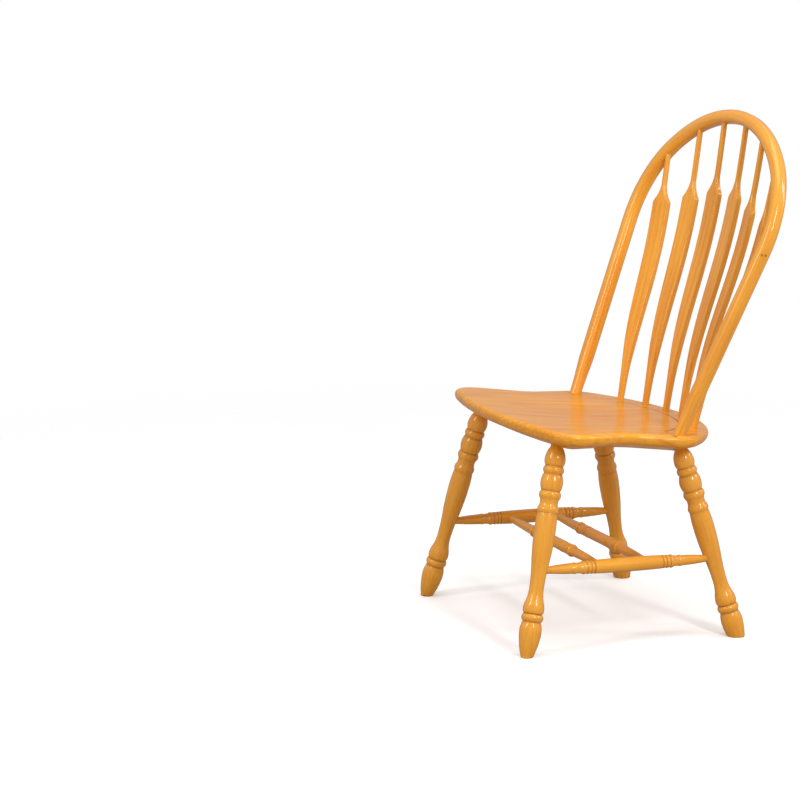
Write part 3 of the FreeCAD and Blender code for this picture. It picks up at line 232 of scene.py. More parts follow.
def leg_line(sizes, place, side):
    """Floor point and underside point of a leg."""
    (foot_x, foot_y), (top_x, top_y) = LEG_ENDS[place]
    foot = Vector((side * foot_x * MM, foot_y * MM + BOW_LINE_Y, 0))
    top = on_seat(sizes, side * top_x * MM, top_y * MM)
    top.z -= sizes.seat_thickness / math.cos(sizes.seat_tilt)
    return foot, top


def leg_length(sizes):
    """Length of the turning below the seat: all four are turned as long as the longer pair."""
    return max((top - foot).length for foot, top in
               (leg_line(sizes, place, 1) for place in LEG_ENDS))


def stretcher_ends(sizes, side):
    """Where a side stretcher meets the middle of the front and rear legs."""
    ends = []
    for place in ("front", "rear"):
        foot, top = leg_line(sizes, place, side)
        way = top - foot
        ends.append(foot + way * (STRETCHER_HEIGHT[place] * MM / way.z))
    return ends


def along_matrix(start, way, roll=0.0):
    """Matrix that stands local +Z along a direction at a start point."""
    turn = way.to_track_quat("Z", "Y").to_matrix().to_4x4()
    return Matrix.Translation(start) @ turn @ Matrix.Rotation(roll, 4, "Z")


# Making meshes

def new_layers(bm):
    """Where each point lies in its board, and how deep it lies in a groove."""
    return (bm.verts.layers.float_vector.new("grain_place"),
            bm.verts.layers.float.new("groove_depth"))


def finish_piece(bm, node, way, material, sharp_angle=38):
    """Turn a bmesh into the piece that stands for its CAD node, named after how it was made."""
    name = node + "_" + way
    bmesh.ops.recalc_face_normals(bm, faces=bm.faces)
    mesh = bpy.data.meshes.new(name)
    bm.to_mesh(mesh)
    bm.free()
    mesh.shade_smooth()
    mesh.set_sharp_from_angle(angle=math.radians(sharp_angle))
    mesh.materials.append(material)
    piece = bpy.data.objects.new(name, mesh)
    bpy.context.scene.collection.objects.link(piece)
    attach(piece, "root")
    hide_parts(node)


def only(kind, geometry):
    """The parts of one kind, such as edges, among mixed geometry."""
    return [part for part in geometry if isinstance(part, kind)]


def saw(bm, place, way):
    """Saw off what lies past a plane, close the cut and return its rim."""
    cut = bmesh.ops.bisect_plane(bm, geom=[*bm.verts, *bm.edges, *bm.faces], plane_co=place,
                                 plane_no=way, clear_outer=True)
    rim = only(bmesh.types.BMEdge, cut["geom_cut"])
    if rim:
        bmesh.ops.edgeloop_fill(bm, edges=rim)
    return rim


def ogee(start, end, share):
    """Two arcs from start to end, flat at both ends, which meet at share of the way."""
    (a1, r1), (a2, r2) = start, end
    middle = (a1 + (a2 - a1) * share, r1 + (r2 - r1) * share)
    return [(a1, r1, (r1 - middle[1]) / 4), (*middle, (r2 - middle[1]) / 4)]


def arc_points(start, end, sag, steps):
    """Points from start up to, and without, end, on the arc that swells by sag."""
    if not sag:
        return [start]
    (a1, r1), (a2, r2) = start, end
    chord = Vector((r2 - r1, a2 - a1))
    outward = Vector((chord.y, -chord.x)).normalized()
    radius = chord.length ** 2 / (8 * sag) + sag / 2
    middle = Vector((r1 + r2, a1 + a2)) / 2
    centre = middle + outward * (sag - radius)
    half = math.asin(max(-1, min(1, chord.length / 2 / radius)))
    points = []
    for step in range(steps):
        angle = half * (2 * step / steps - 1)
        across = outward * (radius * math.cos(angle))
        point = centre + across + chord.normalized() * (radius * math.sin(angle))
        points.append((point.y, point.x))
    return points


def smooth_profile(stations, steps=9):
    """Points of a turned outline from stations of (distance along, radius, swell to the next)."""
    points = []
    for start, end in zip(stations, stations[1:]):
        points += arc_points(start[:2], end[:2], start[2], steps)
    points.append(stations[-1][:2])
    return points


def groove_depths(points, reach=4.0, full=1.6):
    """How deep each point of an outline lies between its neighbours, from 0 to 1."""
    depths = []
    for along, radius in points:
        before = max([r for a, r in points if along - reach <= a <= along], default=radius)
        after = max([r for a, r in points if along <= a <= along + reach], default=radius)
        depths.append(max(0.0, min(1.0, (min(before, after) - radius) / full)))
    return depths


def lathe(points, place, seed, steps=56):
    """A turning spun from its outline, set in its place."""
    bm = bmesh.new()
    grain, groove = new_layers(bm)
    outline = [(points[0][0], 0.0), *points, (points[-1][0], 0.0)]
    depths = [0.0, *groove_depths(points), 0.0]
    verts = []
    for (along, radius), depth in zip(outline, depths):
        vert = bm.verts.new((radius * MM, 0, along * MM))
        vert[groove] = depth
        verts.append(vert)
    edges = [bm.edges.new(pair) for pair in zip(verts, verts[1:])]
    bmesh.ops.spin(bm, geom=verts + edges, cent=(0, 0, 0), axis=(0, 0, 1), dvec=(0, 0, 0),
                   angle=math.tau, steps=steps, use_merge=True, use_normal_flip=False,
                   use_duplicate=False)
    bmesh.ops.remove_doubles(bm, verts=bm.verts, dist=SAME_POINT)
    for vert in bm.verts:
        vert[grain] = vert.co + Vector((0.031 * seed, 0.017 * seed, 0.37 * seed))
    bmesh.ops.transform(bm, matrix=place, verts=bm.verts)
    return bm


def rounded_ring(width, depth, corner, corner_steps=6):
    """Points round a rectangle with rounded corners, anticlockwise from its +X side."""
    points = []
    half_w, half_d = width / 2 - corner, depth / 2 - corner
    for quarter, (sx, sy) in enumerate(((1, 1), (-1, 1), (-1, -1), (1, -1))):
        for step in range(corner_steps + 1):
            angle = math.pi / 2 * (quarter + step / corner_steps)
            points.append(Vector((sx * half_w + corner * math.cos(angle),
                                  sy * half_d + corner * math.sin(angle), 0)))
    return points


def loft(stations, seed):
    """A bar drawn through stations of (ring, matrix, distance along), closed at both ends."""
    bm = bmesh.new()
    grain = new_layers(bm)[0]
    offset = Vector((0.029 * seed, 0.023 * seed, 0.41 * seed))

    def place_ring(verts, station):
        ring, matrix, along = station
        for vert, point in zip(verts, ring):
            vert.co = matrix @ point
            vert[grain] = Vector((point.x, point.y, along)) + offset

    made = bmesh.ops.create_circle(bm, cap_ends=True, segments=len(stations[0][0]), radius=0.01)
    verts, edges = made["verts"], list(bm.edges)
    bmesh.ops.reverse_faces(bm, faces=bm.faces)
    place_ring(verts, stations[0])
    for station in stations[1:]:
        made = bmesh.ops.extrude_edge_only(bm, edges=edges)["geom"]
        fresh = set(only(bmesh.types.BMVert, made))
        edges = [edge for edge in only(bmesh.types.BMEdge, made) if set(edge.verts) <= fresh]
        verts = [next(edge.other_vert(vert) for edge in vert.link_edges
                      if edge.other_vert(vert) in fresh) for vert in verts]
        place_ring(verts, station)
    bmesh.ops.edgeloop_fill(bm, edges=edges)
    return bm


# Materials

class Net:
    """The nodes of one tree, with short ways to add and to join them."""

    def __init__(self, tree):
        self.nodes, self.links = tree.nodes, tree.links

    def fill(self, node, inputs):
        """Give a node's inputs their values, or join them to the sockets that feed them."""
        for key, value in inputs.items():
            if isinstance(value, bpy.types.NodeSocket):
                self.links.new(value, node.inputs[key])
            else:
                node.inputs[key].default_value = value

    def add(self, kind, inputs, **settings):
        """A new node with its settings and inputs. Its outputs are returned."""
        node = self.nodes.new("ShaderNode" + kind)
        for name, value in settings.items():
            setattr(node, name, value)
        self.fill(node, inputs)
        return node.outputs

    def noise(self, vector, stretch, scale, detail, output="Fac"):
        """Noise drawn out along the grain."""
        mapping = self.add("Mapping", {"Scale": (1, 1, stretch), "Vector": vector})
        return self.add("TexNoise", {"Scale": scale, "Detail": detail,
                                     "Vector": mapping["Vector"]})[output]

    def ranged(self, value, low, high, out_low=0.0, out_high=1.0):
        """The value brought from one range to another, and held inside it."""
        return self.add("MapRange", {"Value": value, "From Min": low, "From Max": high,
                                     "To Min": out_low, "To Max": out_high})["Result"]

    def maths(self, operation, one, two):
        """Two values joined by an operation."""
        return self.add("Math", {0: one, 1: two}, operation=operation)["Value"]

    def mixed(self, factor, one, two):
        """Two colours mixed by a mask."""
        return self.add("Mix", {"Factor": factor, "A": one, "B": two}, data_type="RGBA")["Result"]


def node_group(name, inputs, outputs, build):
    """The node group of this name, which is built once."""
    group = bpy.data.node_groups.get(name)
    if group:
        return group
    group = bpy.data.node_groups.new(name, "ShaderNodeTree")
    for label, kind, default in inputs:
        socket = group.interface.new_socket(name=label, in_out="INPUT",
                                            socket_type="NodeSocket" + kind)
        if default is not None:
            socket.default_value = default
    for label, kind in outputs:
        group.interface.new_socket(name=label, in_out="OUTPUT", socket_type="NodeSocket" + kind)
    net = Net(group)
    inside = net.nodes.new("NodeGroupInput").outputs
    net.fill(net.nodes.new("NodeGroupOutput"), build(net, inside))
    return group


def build_grain(net, inside):
    """Growth rings, fibres and pores of a board, whose grain runs along the third coordinate."""
    place = inside["Place"]
    bent = net.add("VectorMath", {0: net.noise(place, 0.25, 7.0, 2.0, "Color"),
                                  1: (0.05, 0.05, 0.0), 2: place}, operation="MULTIPLY_ADD")
    heart = net.add("Mapping", {"Location": (0.045, 0.07, 0), "Scale": (1, 1, 0.035),
                                "Vector": bent["Vector"]})
    rings = net.add("TexWave", {"Distortion": 1.2, "Detail": 2.0, "Detail Scale": 1.4,
                                "Vector": heart["Vector"], "Scale": inside["Ring Scale"]},
                    wave_type="RINGS", rings_direction="Z", wave_profile="SAW")
    streaks = net.noise(place, 0.035, 190.0, 4.0)
    fibres = net.noise(place, 0.02, 900.0, 3.0)
    clouds = net.noise(place, 0.3, 14.0, 2.0)
    pores = net.noise(place, 0.05, 1500.0, 1.0)

    ring_mask = net.maths("MULTIPLY", rings["Fac"], inside["Ring Strength"])
    streak_mask = net.maths("MULTIPLY", net.ranged(streaks, 0.35, 0.7), inside["Streak Strength"])
    cloud_mask = net.ranged(clouds, 0.35, 0.65, -0.14, 0.16)
    fibre_mask = net.ranged(fibres, 0.3, 0.7, -0.1, 0.12)
    darkness = net.maths("ADD", net.maths("ADD", ring_mask, streak_mask),
                         net.maths("ADD", cloud_mask, fibre_mask))
    wood = net.mixed(net.ranged(darkness, 0.0, 1.0), inside["Light Wood"], inside["Dark Wood"])
    in_dark = net.maths("MULTIPLY", net.ranged(pores, 0.62, 0.7),
                        net.ranged(darkness, 0.2, 0.8, 0.15, 0.6))
    return {
        "Color": net.mixed(in_dark, wood, inside["Pore Colour"]),
        "Height": net.maths("SUBTRACT", net.maths("MULTIPLY", fibres, 0.25), in_dark),
        "Roughness": net.ranged(streaks, 0.3, 0.7, 0.3, 0.4),
    }


def oak_grain_group():
    """Grain of an open-pored wood, with its colours and strengths as inputs."""
    return node_group("oak_grain", [
        ("Place", "Vector", None),
        ("Light Wood", "Color", (0.8, 0.42, 0.12, 1)),
        ("Dark Wood", "Color", (0.66, 0.28, 0.05, 1)),
        ("Pore Colour", "Color", (0.3, 0.09, 0.01, 1)),
        ("Ring Strength", "Float", 0.5),
        ("Streak Strength", "Float", 0.5),
        ("Ring Scale", "Float", 45.0),
    ], [("Color", "Color"), ("Height", "Float"), ("Roughness", "Float")], build_grain)


def build_darker_grooves(net, inside):
    """The wood's colour, painted darker towards the dark colour by the depth of the groove."""
    mask = net.maths("MULTIPLY", inside["Depth"], inside["Strength"])
    return {"Color": net.mixed(mask, inside["Color"], inside["Dark Colour"])}


def darker_grooves_group():
    """The grooves painted darker, by how deep they lie."""
    return node_group("darker_grooves", [
        ("Color", "Color", (0.8, 0.42, 0.12, 1)),
        ("Dark Colour", "Color", (0.3, 0.09, 0.01, 1)),
        ("Depth", "Float", 0.0),
        ("Strength", "Float", 0.6),
    ], [("Color", "Color")], build_darker_grooves)


def rgba(colour):
    """A colour of the finish with full opacity."""
    return (*colour, 1.0)


def knot_mask(net, place):
    """Dark heart and paler stain of a knot at a place of the model."""
    away = net.add("VectorMath", {0: net.add("TexCoord", {})["Object"], 1: place},
                   operation="DISTANCE")["Value"]
    heart = net.ranged(away, KNOT_HEART * 0.6, KNOT_HEART * 1.4, 0.75, 0.0)
    stain = net.ranged(away, KNOT_HEART, KNOT_REACH, 0.22, 0.0)
    return net.maths("MAXIMUM", heart, stain)


def new_material(name):
    """A material with its net and its shader."""
    material = bpy.data.materials.new(name)
    material.use_nodes = True
    return material, Net(material.node_tree), material.node_tree.nodes["Principled BSDF"]


def lacquered_wood(kind, knots=()):
    """Honey-stained wood under clear lacquer."""
    name = "honey_wood_" + kind
    if name in bpy.data.materials:
        return bpy.data.materials[name]
    ring_strength, ring_scale, streaks, groove_darkening, coat, edge_shade_depth = WOODS[kind]
    finish = bpy.context.scene.chair_finish
    material, net, shader = new_material(name)
    place = net.add("Attribute", {}, attribute_name="grain_place")["Vector"]
    depth = net.add("Attribute", {}, attribute_name="groove_depth")["Fac"]
    grain = net.add("Group", {
        "Place": place, "Light Wood": rgba(finish.light_wood), "Dark Wood": rgba(finish.dark_wood),
        "Pore Colour": rgba(finish.glaze), "Ring Strength": ring_strength,
        "Ring Scale": ring_scale, "Streak Strength": streaks,
    }, node_tree=oak_grain_group())
    groove_darkened = net.add("Group", {"Color": grain["Color"], "Dark Colour": rgba(finish.glaze),
                               "Depth": depth, "Strength": groove_darkening},
                     node_tree=darker_grooves_group())
    # Painted shade: the colour turns darker and redder where the surface turns away from the
    # camera.
    facing = net.add("LayerWeight", {"Blend": 0.35})["Facing"]
    edge_shade_mask = net.ranged(facing, 0.35, 1.0, 0.0, edge_shade_depth)
    colour = net.mixed(edge_shade_mask, groove_darkened["Color"], rgba(finish.painted_edge_shade))
    for knot in knots:
        colour = net.mixed(knot_mask(net, knot), colour, rgba(finish.glaze))
    bump = net.add("Bump", {"Strength": 0.12, "Distance": 0.0003, "Height": grain["Height"]})
    net.fill(shader, {
        "Base Color": colour, "Roughness": grain["Roughness"], "Normal": bump["Normal"],
        "Specular IOR Level": 0.15, "Coat Weight": coat,
        "Coat Roughness": finish.lacquer_roughness,
    })
    return material


def plated_steel():
    """Zinc-plated steel of the screws, lightly scratched."""
    material, net, shader = new_material("zinc_plated_screw")
    scratches = net.noise(net.add("TexCoord", {})["Object"], 0.1, 2600.0, 3.0)
    net.fill(shader, {"Metallic": 1.0, "Roughness": net.ranged(scratches, 0.3, 0.7, 0.22, 0.42),
                      "Base Color": rgba(bpy.context.scene.chair_finish.screw_metal)})
    return material


# Legs and stretchers

def leg_stations(length):
    """The leg from below its sole to the end of its tenon, for a turning this long, in mm."""
    ring = length - 43
    vase = ring - 15
    disc = vase - 33
    cove = disc - 15
    collar = cove - 15.5
    long_top = collar - 14
    belly = long_top - 28
    waist = (133, 14.2)
    lower = [
        (-5, 11.6, 0), (0, 11.6, 2.1), (49.5, 21.8, 0.83), (67.8, 18.5, 0),
        (69, 17.5, 4.0), (85, 17.5, 0), (86.2, 19.4, 0.35),
    ]
    shaft = ogee((92.7, 20.8), waist, 0.36) + ogee(waist, (belly, 21.2), 0.4)
    upper = [
        (belly, 21.2, 0.45), (long_top, 19.4, 0), (long_top + 1.2, 19.2, 1.9),
        (collar, 19.2, -1.5), (cove, 19.2, 2.9), (disc, 18.5, 3.7), (vase, 18.5, 0),
        (vase + 1.2, 17.7, 2.9), (ring, 17.7, 0), (ring + 1.2, 17.5, 0.75),
        (length - 31, 20.5, 2.0), (length - 5.5, 12.5, 0), (length + 24, 12.5, 0),
    ]
    return lower + shaft + upper


def mirrored(stations, middle):
    """A turning's stations from one end to its middle, and on to the other end."""
    whole = list(stations)
    for along, radius, swell in reversed(stations[:-1]):
        whole[-1] = (*whole[-1][:2], swell)
        whole.append((2 * middle - along, radius, 0))
    return whole


def side_stretcher_stations(middle):
    """A side stretcher from the middle of its front leg."""
    return mirrored([
        (-4, 7.3, 0), (21.2, 7.3, 0.5), (72, 10.6, 0.8), (80, 10.6, -0.4), (92, 11.8, 1.5),
        (100, 11.8, 0), (101.2, 11.8, 1.5), (109.2, 11.8, 1.5), (117.2, 11.8, 0),
        (118.4, 13.4, 0.25), (middle, 14.4, 0),
    ], middle)


def cross_stretcher_stations(middle):
    """A cross stretcher from the middle of its left side stretcher."""
    ring = middle - 90
    bead = ring + 10.2
    pair = middle - 55
    return mirrored([
        (-3, 6.0, 0), (14.4, 6.0, 0.5),
        (ring - 1.2, 10.0, 0), (ring, 10.2, 2.6), (ring + 9, 10.2, 0),
        (bead, 10.2, 1.6), (bead + 6, 10.2, 0), (bead + 7.2, 11.4, 0), (pair - 1.2, 11.4, 0),
        (pair, 10.2, 1.6), (pair + 6, 10.2, 1.6), (pair + 12, 10.2, 0), (pair + 13.2, 11.4, 0),
        (middle - 1.2, 11.4, 0), (middle, 10.2, 0),
    ], middle)


class CHAIR_OT_legs(bpy.types.Operator):
    """Turn the four legs and saw their soles level with the floor"""
    bl_idname = "chair.legs"
    bl_label = "Legs"

    def execute(self, context):
        sizes = context.scene.chair_sizes
        length = leg_length(sizes)
        points = smooth_profile(leg_stations(length / MM))
        wood = lacquered_wood("turned")
        for number, place in enumerate(("front", "rear")):
            for side_name, side in SIDES:
                foot, top = leg_line(sizes, place, side)
                way = (top - foot).normalized()
                seed = 1 + number * 2 + (side > 0)
                bm = lathe(points, along_matrix(top - way * length, way, seed * 1.3), seed)
                rim = saw(bm, (0, 0, 0), (0, 0, -1))
                bmesh.ops.bevel(bm, geom=rim, offset=0.0012, segments=2, profile=0.5,
                                affect="EDGES", material=-1)
                node = "leg_%s_%s" % (place, side_name)
                finish_piece(bm, node, "turned", wood)
        return {"FINISHED"}


class CHAIR_OT_stretchers(bpy.types.Operator):
    """Turn the two side stretchers and the two cross stretchers"""
    bl_idname = "chair.stretchers"
    bl_label = "Stretchers"

    def execute(self, context):
        sizes = context.scene.chair_sizes
        wood = lacquered_wood("turned")
        starts, ways = {}, {}
        for side_name, side in SIDES:
            front, rear = stretcher_ends(sizes, side)
            starts[side], ways[side] = front, (rear - front).normalized()
            points = smooth_profile(side_stretcher_stations((rear - front).length / 2 / MM), 7)
            bm = lathe(points, along_matrix(front, rear - front), 6 + side, 44)
            finish_piece(bm, "stretcher_side_" + side_name, "turned", wood)
        for number, (place, along) in enumerate(CROSS_AT.items()):
            left, right = [starts[side] + ways[side] * along * MM for side in (1, -1)]
            points = smooth_profile(cross_stretcher_stations((right - left).length / 2 / MM), 7)
            bm = lathe(points, along_matrix(left, right - left), 9 + number, 44)
            finish_piece(bm, "stretcher_cross_" + place, "turned", wood)
        return {"FINISHED"}


# Bow

class BowLine:
    """The bow's centre line in its own leaning plane: straight, shoulder, top and back again."""

    def __init__(self, sizes):
        self.lean = sizes.bow_lean
        self.seat_height = sizes.seat_height
        self.foot = Vector((sizes.bow_foot_x, 0))
        self.top_radius = sizes.bow_top_radius
        self.shoulder_radius = sizes.bow_shoulder_radius
        apart = self.top_radius - self.shoulder_radius
        shoulder_x = sizes.bow_half_width - self.shoulder_radius
        rise = math.sqrt(apart ** 2 - shoulder_x ** 2)
        self.top_centre = Vector((0, sizes.bow_reach - self.top_radius))
        self.shoulder_centre = self.top_centre + Vector((shoulder_x, rise))
        away = self.foot - self.shoulder_centre
        turn = math.atan2(away.y, away.x) + math.acos(self.shoulder_radius / away.length)
        out = Vector((math.cos(turn), math.sin(turn)))
        straight = self.shoulder_centre + out * self.shoulder_radius - self.foot
        self.straight, self.way = straight.length, straight.normalized()
        self.shoulder_start, self.shoulder_end = turn, math.atan2(rise, shoulder_x)
        self.shoulder = self.shoulder_radius * (self.shoulder_end - self.shoulder_start)
        top = self.top_radius * (math.pi / 2 - self.shoulder_end)
        self.length = 2 * (self.straight + self.shoulder + top)

    def at(self, along):
        """Point and direction in the plane, at a distance along from the left foot."""
        if along > self.length / 2:
            point, way = self.at(self.length - along)
            return Vector((-point.x, point.y)), Vector((way.x, -way.y))
        if along <= self.straight:
            return self.foot + self.way * along, self.way
        past = along - self.straight
        if past <= self.shoulder:
            angle = self.shoulder_start + past / self.shoulder_radius
            centre, radius = self.shoulder_centre, self.shoulder_radius
        else:
            angle = self.shoulder_end + (past - self.shoulder) / self.top_radius
            centre, radius = self.top_centre, self.top_radius
        out = Vector((math.cos(angle), math.sin(angle)))
        return centre + out * radius, Vector((-out.y, out.x))

    def world(self, point):
        """A point of the plane in the chair's frame."""
        return Vector((point.x, point.y * math.sin(self.lean) + BOW_LINE_Y,
                       self.seat_height + point.y * math.cos(self.lean)))

    def matrix(self, along):
        """Frame across the bow: local X points out of the bend and local Z along it."""
        point, way = self.at(along)
        origin = self.world(point)
        forward = self.world(point + way) - origin
        outward = self.world(point + Vector((way.y, -way.x))) - origin
        matrix = Matrix((outward, forward.cross(outward), forward)).transposed().to_4x4()
        matrix.translation = origin
        return matrix

    def inner_edge(self, x, half_section):
        """The point of the bow's inner edge at x."""
        edge, top_r = abs(x), self.top_radius - half_section
        apart = self.top_radius - self.shoulder_radius
        if edge / top_r <= self.shoulder_centre.x / apart:
            up = self.top_centre.y + math.sqrt(top_r ** 2 - edge ** 2)
        else:
            side_r, past = self.shoulder_radius - half_section, edge - self.shoulder_centre.x
            up = self.shoulder_centre.y + math.sqrt(side_r ** 2 - past ** 2)
        return self.world(Vector((x, up)))


def eased(share):
    """A share that starts and ends gently."""
    share = max(0.0, min(1.0, share))
    return share * share * (3 - 2 * share)


class CHAIR_OT_bow(bpy.types.Operator):
    """Bend the bow and whittle its two feet round"""
    bl_idname = "chair.bow"
    bl_label = "Bow"

    def execute(self, context):
        sizes = context.scene.chair_sizes
        line = BowLine(sizes)
        places = [-BOW_IN_SEAT, -0.004, BOW_ROUND]
        places += [BOW_ROUND + BOW_TAPER * step / 10 for step in range(1, 11)]
        feet, start, steps = len(places), places[-1], 190
        places += [start + (line.length - 2 * start) * step / steps for step in range(1, steps)]
        places += [line.length - along for along in reversed(places[:feet])]
        stations = []
        for along in places:
            from_foot = min(along, line.length - along)
            square = eased((from_foot - BOW_ROUND) / BOW_TAPER)
            side = BOW_FOOT + (sizes.bow_section - BOW_FOOT) * square
            round_corner = side / 2 * NEARLY_ROUND
            corner = round_corner + (BOW_CORNER - round_corner) * square
            stations.append((rounded_ring(side, side, corner), line.matrix(along), along))
        finish_piece(loft(stations, 12), "bow", "bent", lacquered_wood("bent", KNOTS))
        return {"FINISHED"}


# Spindles

def through(points, share):
    """Smooth value at share through (share, value) points, level where they turn."""
    for (s0, v0), (s1, v1) in zip(points, points[1:]):
        if share <= s1:
            break
    slopes = []
    for index in (points.index((s0, v0)), points.index((s1, v1))):
        if 0 < index < len(points) - 1:
            (sa, va), (sb, vb), (sc, vc) = points[index - 1:index + 2]
            one, two = (vb - va) / (sb - sa), (vc - vb) / (sc - sb)
            slopes.append(2 * one * two / (one + two) if one * two > 0 else 0.0)
        else:
            slopes.append(0.0)
    t = max(0.0, min(1.0, (share - s0) / (s1 - s0)))
    wide = s1 - s0
    return ((2 * t ** 3 - 3 * t ** 2 + 1) * v0 + (t ** 3 - 2 * t ** 2 + t) * wide * slopes[0]
            + (3 * t ** 2 - 2 * t ** 3) * v1 + (t ** 3 - t ** 2) * wide * slopes[1])


def spindle_bend(share):
    """How far back a spindle lies from its chord, at a share of its length."""
    low, high, forward, back = 0.2, 0.68, 0.0045, 0.011
    if share <= 0 or share >= 1:
        return 0.0
    if share < low:
        return -forward * math.sin(math.pi / 2 * share / low)
    if share < high:
        swing = (1 - math.cos(math.pi * (share - low) / (high - low))) / 2
        return -forward + (forward + back) * swing
    return back * math.cos(math.pi / 2 * (share - high) / (1 - high))


def spindle_section(sizes, along, flat):
    """Width, depth and corner radius of a spindle at a distance above the seat."""
    foot, neck = SPINDLE_FOOT, SPINDLE_NECK
    if along <= 0:
        return foot, foot, foot / 2 * NEARLY_ROUND
    if along <= flat:
        share = along / flat
        wide = through([(s, w) for s, w, f in BLADE], share)
        flattened = through([(s, f) for s, w, f in BLADE], share)
        width = foot + (sizes.paddle_width - foot) * wide
        depth = foot + (sizes.paddle_thickness - foot) * flattened
        corner = depth / 2 * NEARLY_ROUND
        return width, depth, corner + (BLADE_CORNER - corner) * eased(share / BLADE_EDGED)
    neck_corner = neck / 2 * NEARLY_ROUND
    if along <= flat + SHOULDER_SLOPE:
        share = (along - flat) / SHOULDER_SLOPE
        width = neck + (sizes.paddle_width - neck) * through(SHOULDER, share)
        depth = sizes.paddle_thickness + (neck - sizes.paddle_thickness) * eased(share)
        return width, depth, BLADE_CORNER + (neck_corner - BLADE_CORNER) * eased(share)
    return neck, neck, neck_corner


def spindle_frame(sizes, line, place, side):
    """Matrix and length of a spindle, whose local Z runs along its chord."""
    order, _, top_x = SPINDLES[place]
    turn = math.radians(ROW_PITCH) * order
    row, back_y = ROW_RADIUS * MM, ROW_BACK * MM
    foot = on_seat(sizes, side * row * math.sin(turn), back_y - row + row * math.cos(turn))
    top = line.inner_edge(side * top_x * MM, sizes.bow_section / 2)
    along = (top - foot).normalized()
    face = -side * turn * ROW_FACING
    back = along.cross(Vector((math.cos(face), math.sin(face), 0))).normalized()
    matrix = Matrix((back.cross(along), back, along)).transposed().to_4x4()
    matrix.translation = foot
    return matrix, (top - foot).length


def spaced(low, high, steps):
    """Places from low, which is left out, to high."""
    return [low + (high - low) * step / steps for step in range(1, steps + 1)]


class CHAIR_OT_spindles(bpy.types.Operator):
    """Draw the six flattened spindles between the seat and the bow"""
    bl_idname = "chair.spindles"
    bl_label = "Spindles"

    def execute(self, context):
        sizes = context.scene.chair_sizes
        line = BowLine(sizes)
        wood = lacquered_wood("spindle")
        for number, place in enumerate(SPINDLES):
            for side_name, side in SIDES:
                matrix, length = spindle_frame(sizes, line, place, side)
                flat = SPINDLES[place][1] * MM
                above = flat + SHOULDER_SLOPE
                places = [-SPINDLE_IN_SEAT, -0.002, 0.0, *spaced(0, flat, 46),
                          *spaced(flat, above, 16), *spaced(above, length, 12),
                          length + SPINDLE_IN_BOW]
                stations = []
                for along in places:
                    ring = rounded_ring(*spindle_section(sizes, along, flat))
                    lift = Matrix.Translation((0, spindle_bend(along / length), along))
                    stations.append((ring, matrix @ lift, along))
                bm = loft(stations, 14 + number * 2 + side)
                node = "spindle_%s_%s" % (place, side_name)
                finish_piece(bm, node, "shaved", wood, sharp_angle=50)
        return {"FINISHED"}


# Seat

def arc_turn(centre, start, end):
    """Turn of the arc from start to end, the short way round."""
    one = math.atan2(start.y - centre.y, start.x - centre.x)
    two = math.atan2(end.y - centre.y, end.x - centre.x)
    return (two - one + math.pi) % math.tau - math.pi


def centre_on_axis(inner, inner_radius, end_y):
    """Centre, on X = 0, of the arc that starts at end_y and rolls into the inner circle."""
    away = 1 if end_y > 0 else -1
    reach = away * end_y - inner_radius
    along = away * inner.y
    return Vector((0, away * (inner.x ** 2 + along ** 2 - reach ** 2) / (2 * (along - reach)), 0))


def crossing_tangent(one, one_radius, two, two_radius):
    """Touch points of the line that runs from circle one to circle two between them."""
    apart = two - one
    turn = math.acos((one_radius + two_radius) / apart.length)
    middle = math.atan2(apart.y, apart.x)
    outward = max((Vector((math.cos(middle + s * turn), math.sin(middle + s * turn), 0))
                   for s in (1, -1)), key=lambda way: way.x)
    return one + outward * one_radius, two - outward * two_radius


def seat_outline(bm):
    """The seat's outline as one closed loop at the height of the top, drawn by its arcs."""
    (corner, corner_r), (waist, waist_r), (hip, hip_r) = CORNER, WAIST, HIP
    front = centre_on_axis(corner, corner_r, SEAT_FRONT)
    back = centre_on_axis(hip, hip_r, SEAT_BACK)
    front_join = corner + (corner - front).normalized() * corner_r
    back_join = hip + (hip - back).normalized() * hip_r
    corner_out, waist_in = crossing_tangent(corner, corner_r, waist, waist_r)
    hip_in, waist_out = crossing_tangent(hip, hip_r, waist, waist_r)
    runs = [
        (front, Vector((0, SEAT_FRONT, 0)), front_join, 46),
        (corner, front_join, corner_out, 26),
        (None, corner_out, waist_in, 8),
        (waist, waist_in, waist_out, 18),
        (None, waist_out, hip_in, 6),
        (hip, hip_in, back_join, 20),
        (back, back_join, Vector((0, SEAT_BACK, 0)), 56),
    ]
    tip = bm.verts.new(runs[0][1] * MM)
    for centre, start, end, steps in runs:
        if centre is None:
            for _ in range(steps):
                tip = bmesh.ops.extrude_vert_indiv(bm, verts=[tip])["verts"][0]
                tip.co += (end - start) * MM / steps
        else:
            made = bmesh.ops.spin(bm, geom=[tip], cent=centre * MM, axis=(0, 0, 1), dvec=(0, 0, 0),
                                  angle=arc_turn(centre, start, end), steps=steps)
            tip = only(bmesh.types.BMVert, made["geom_last"])[0]
    for vert in bm.verts:
        if abs(vert.co.x) < SAME_POINT:
            vert.co.x = 0.0
    bmesh.ops.mirror(bm, geom=[*bm.verts, *bm.edges], axis="X", merge_dist=SAME_POINT)
    bmesh.ops.remove_doubles(bm, verts=bm.verts, dist=SAME_POINT)


def quarter_round(radius, turn, steps):
    """Steps (in, down) along an arc that starts straight down and turns inwards."""
    return [(radius * (1 - math.cos(turn * step / steps)), radius * math.sin(turn * step / steps))
            for step in range(steps + 1)]


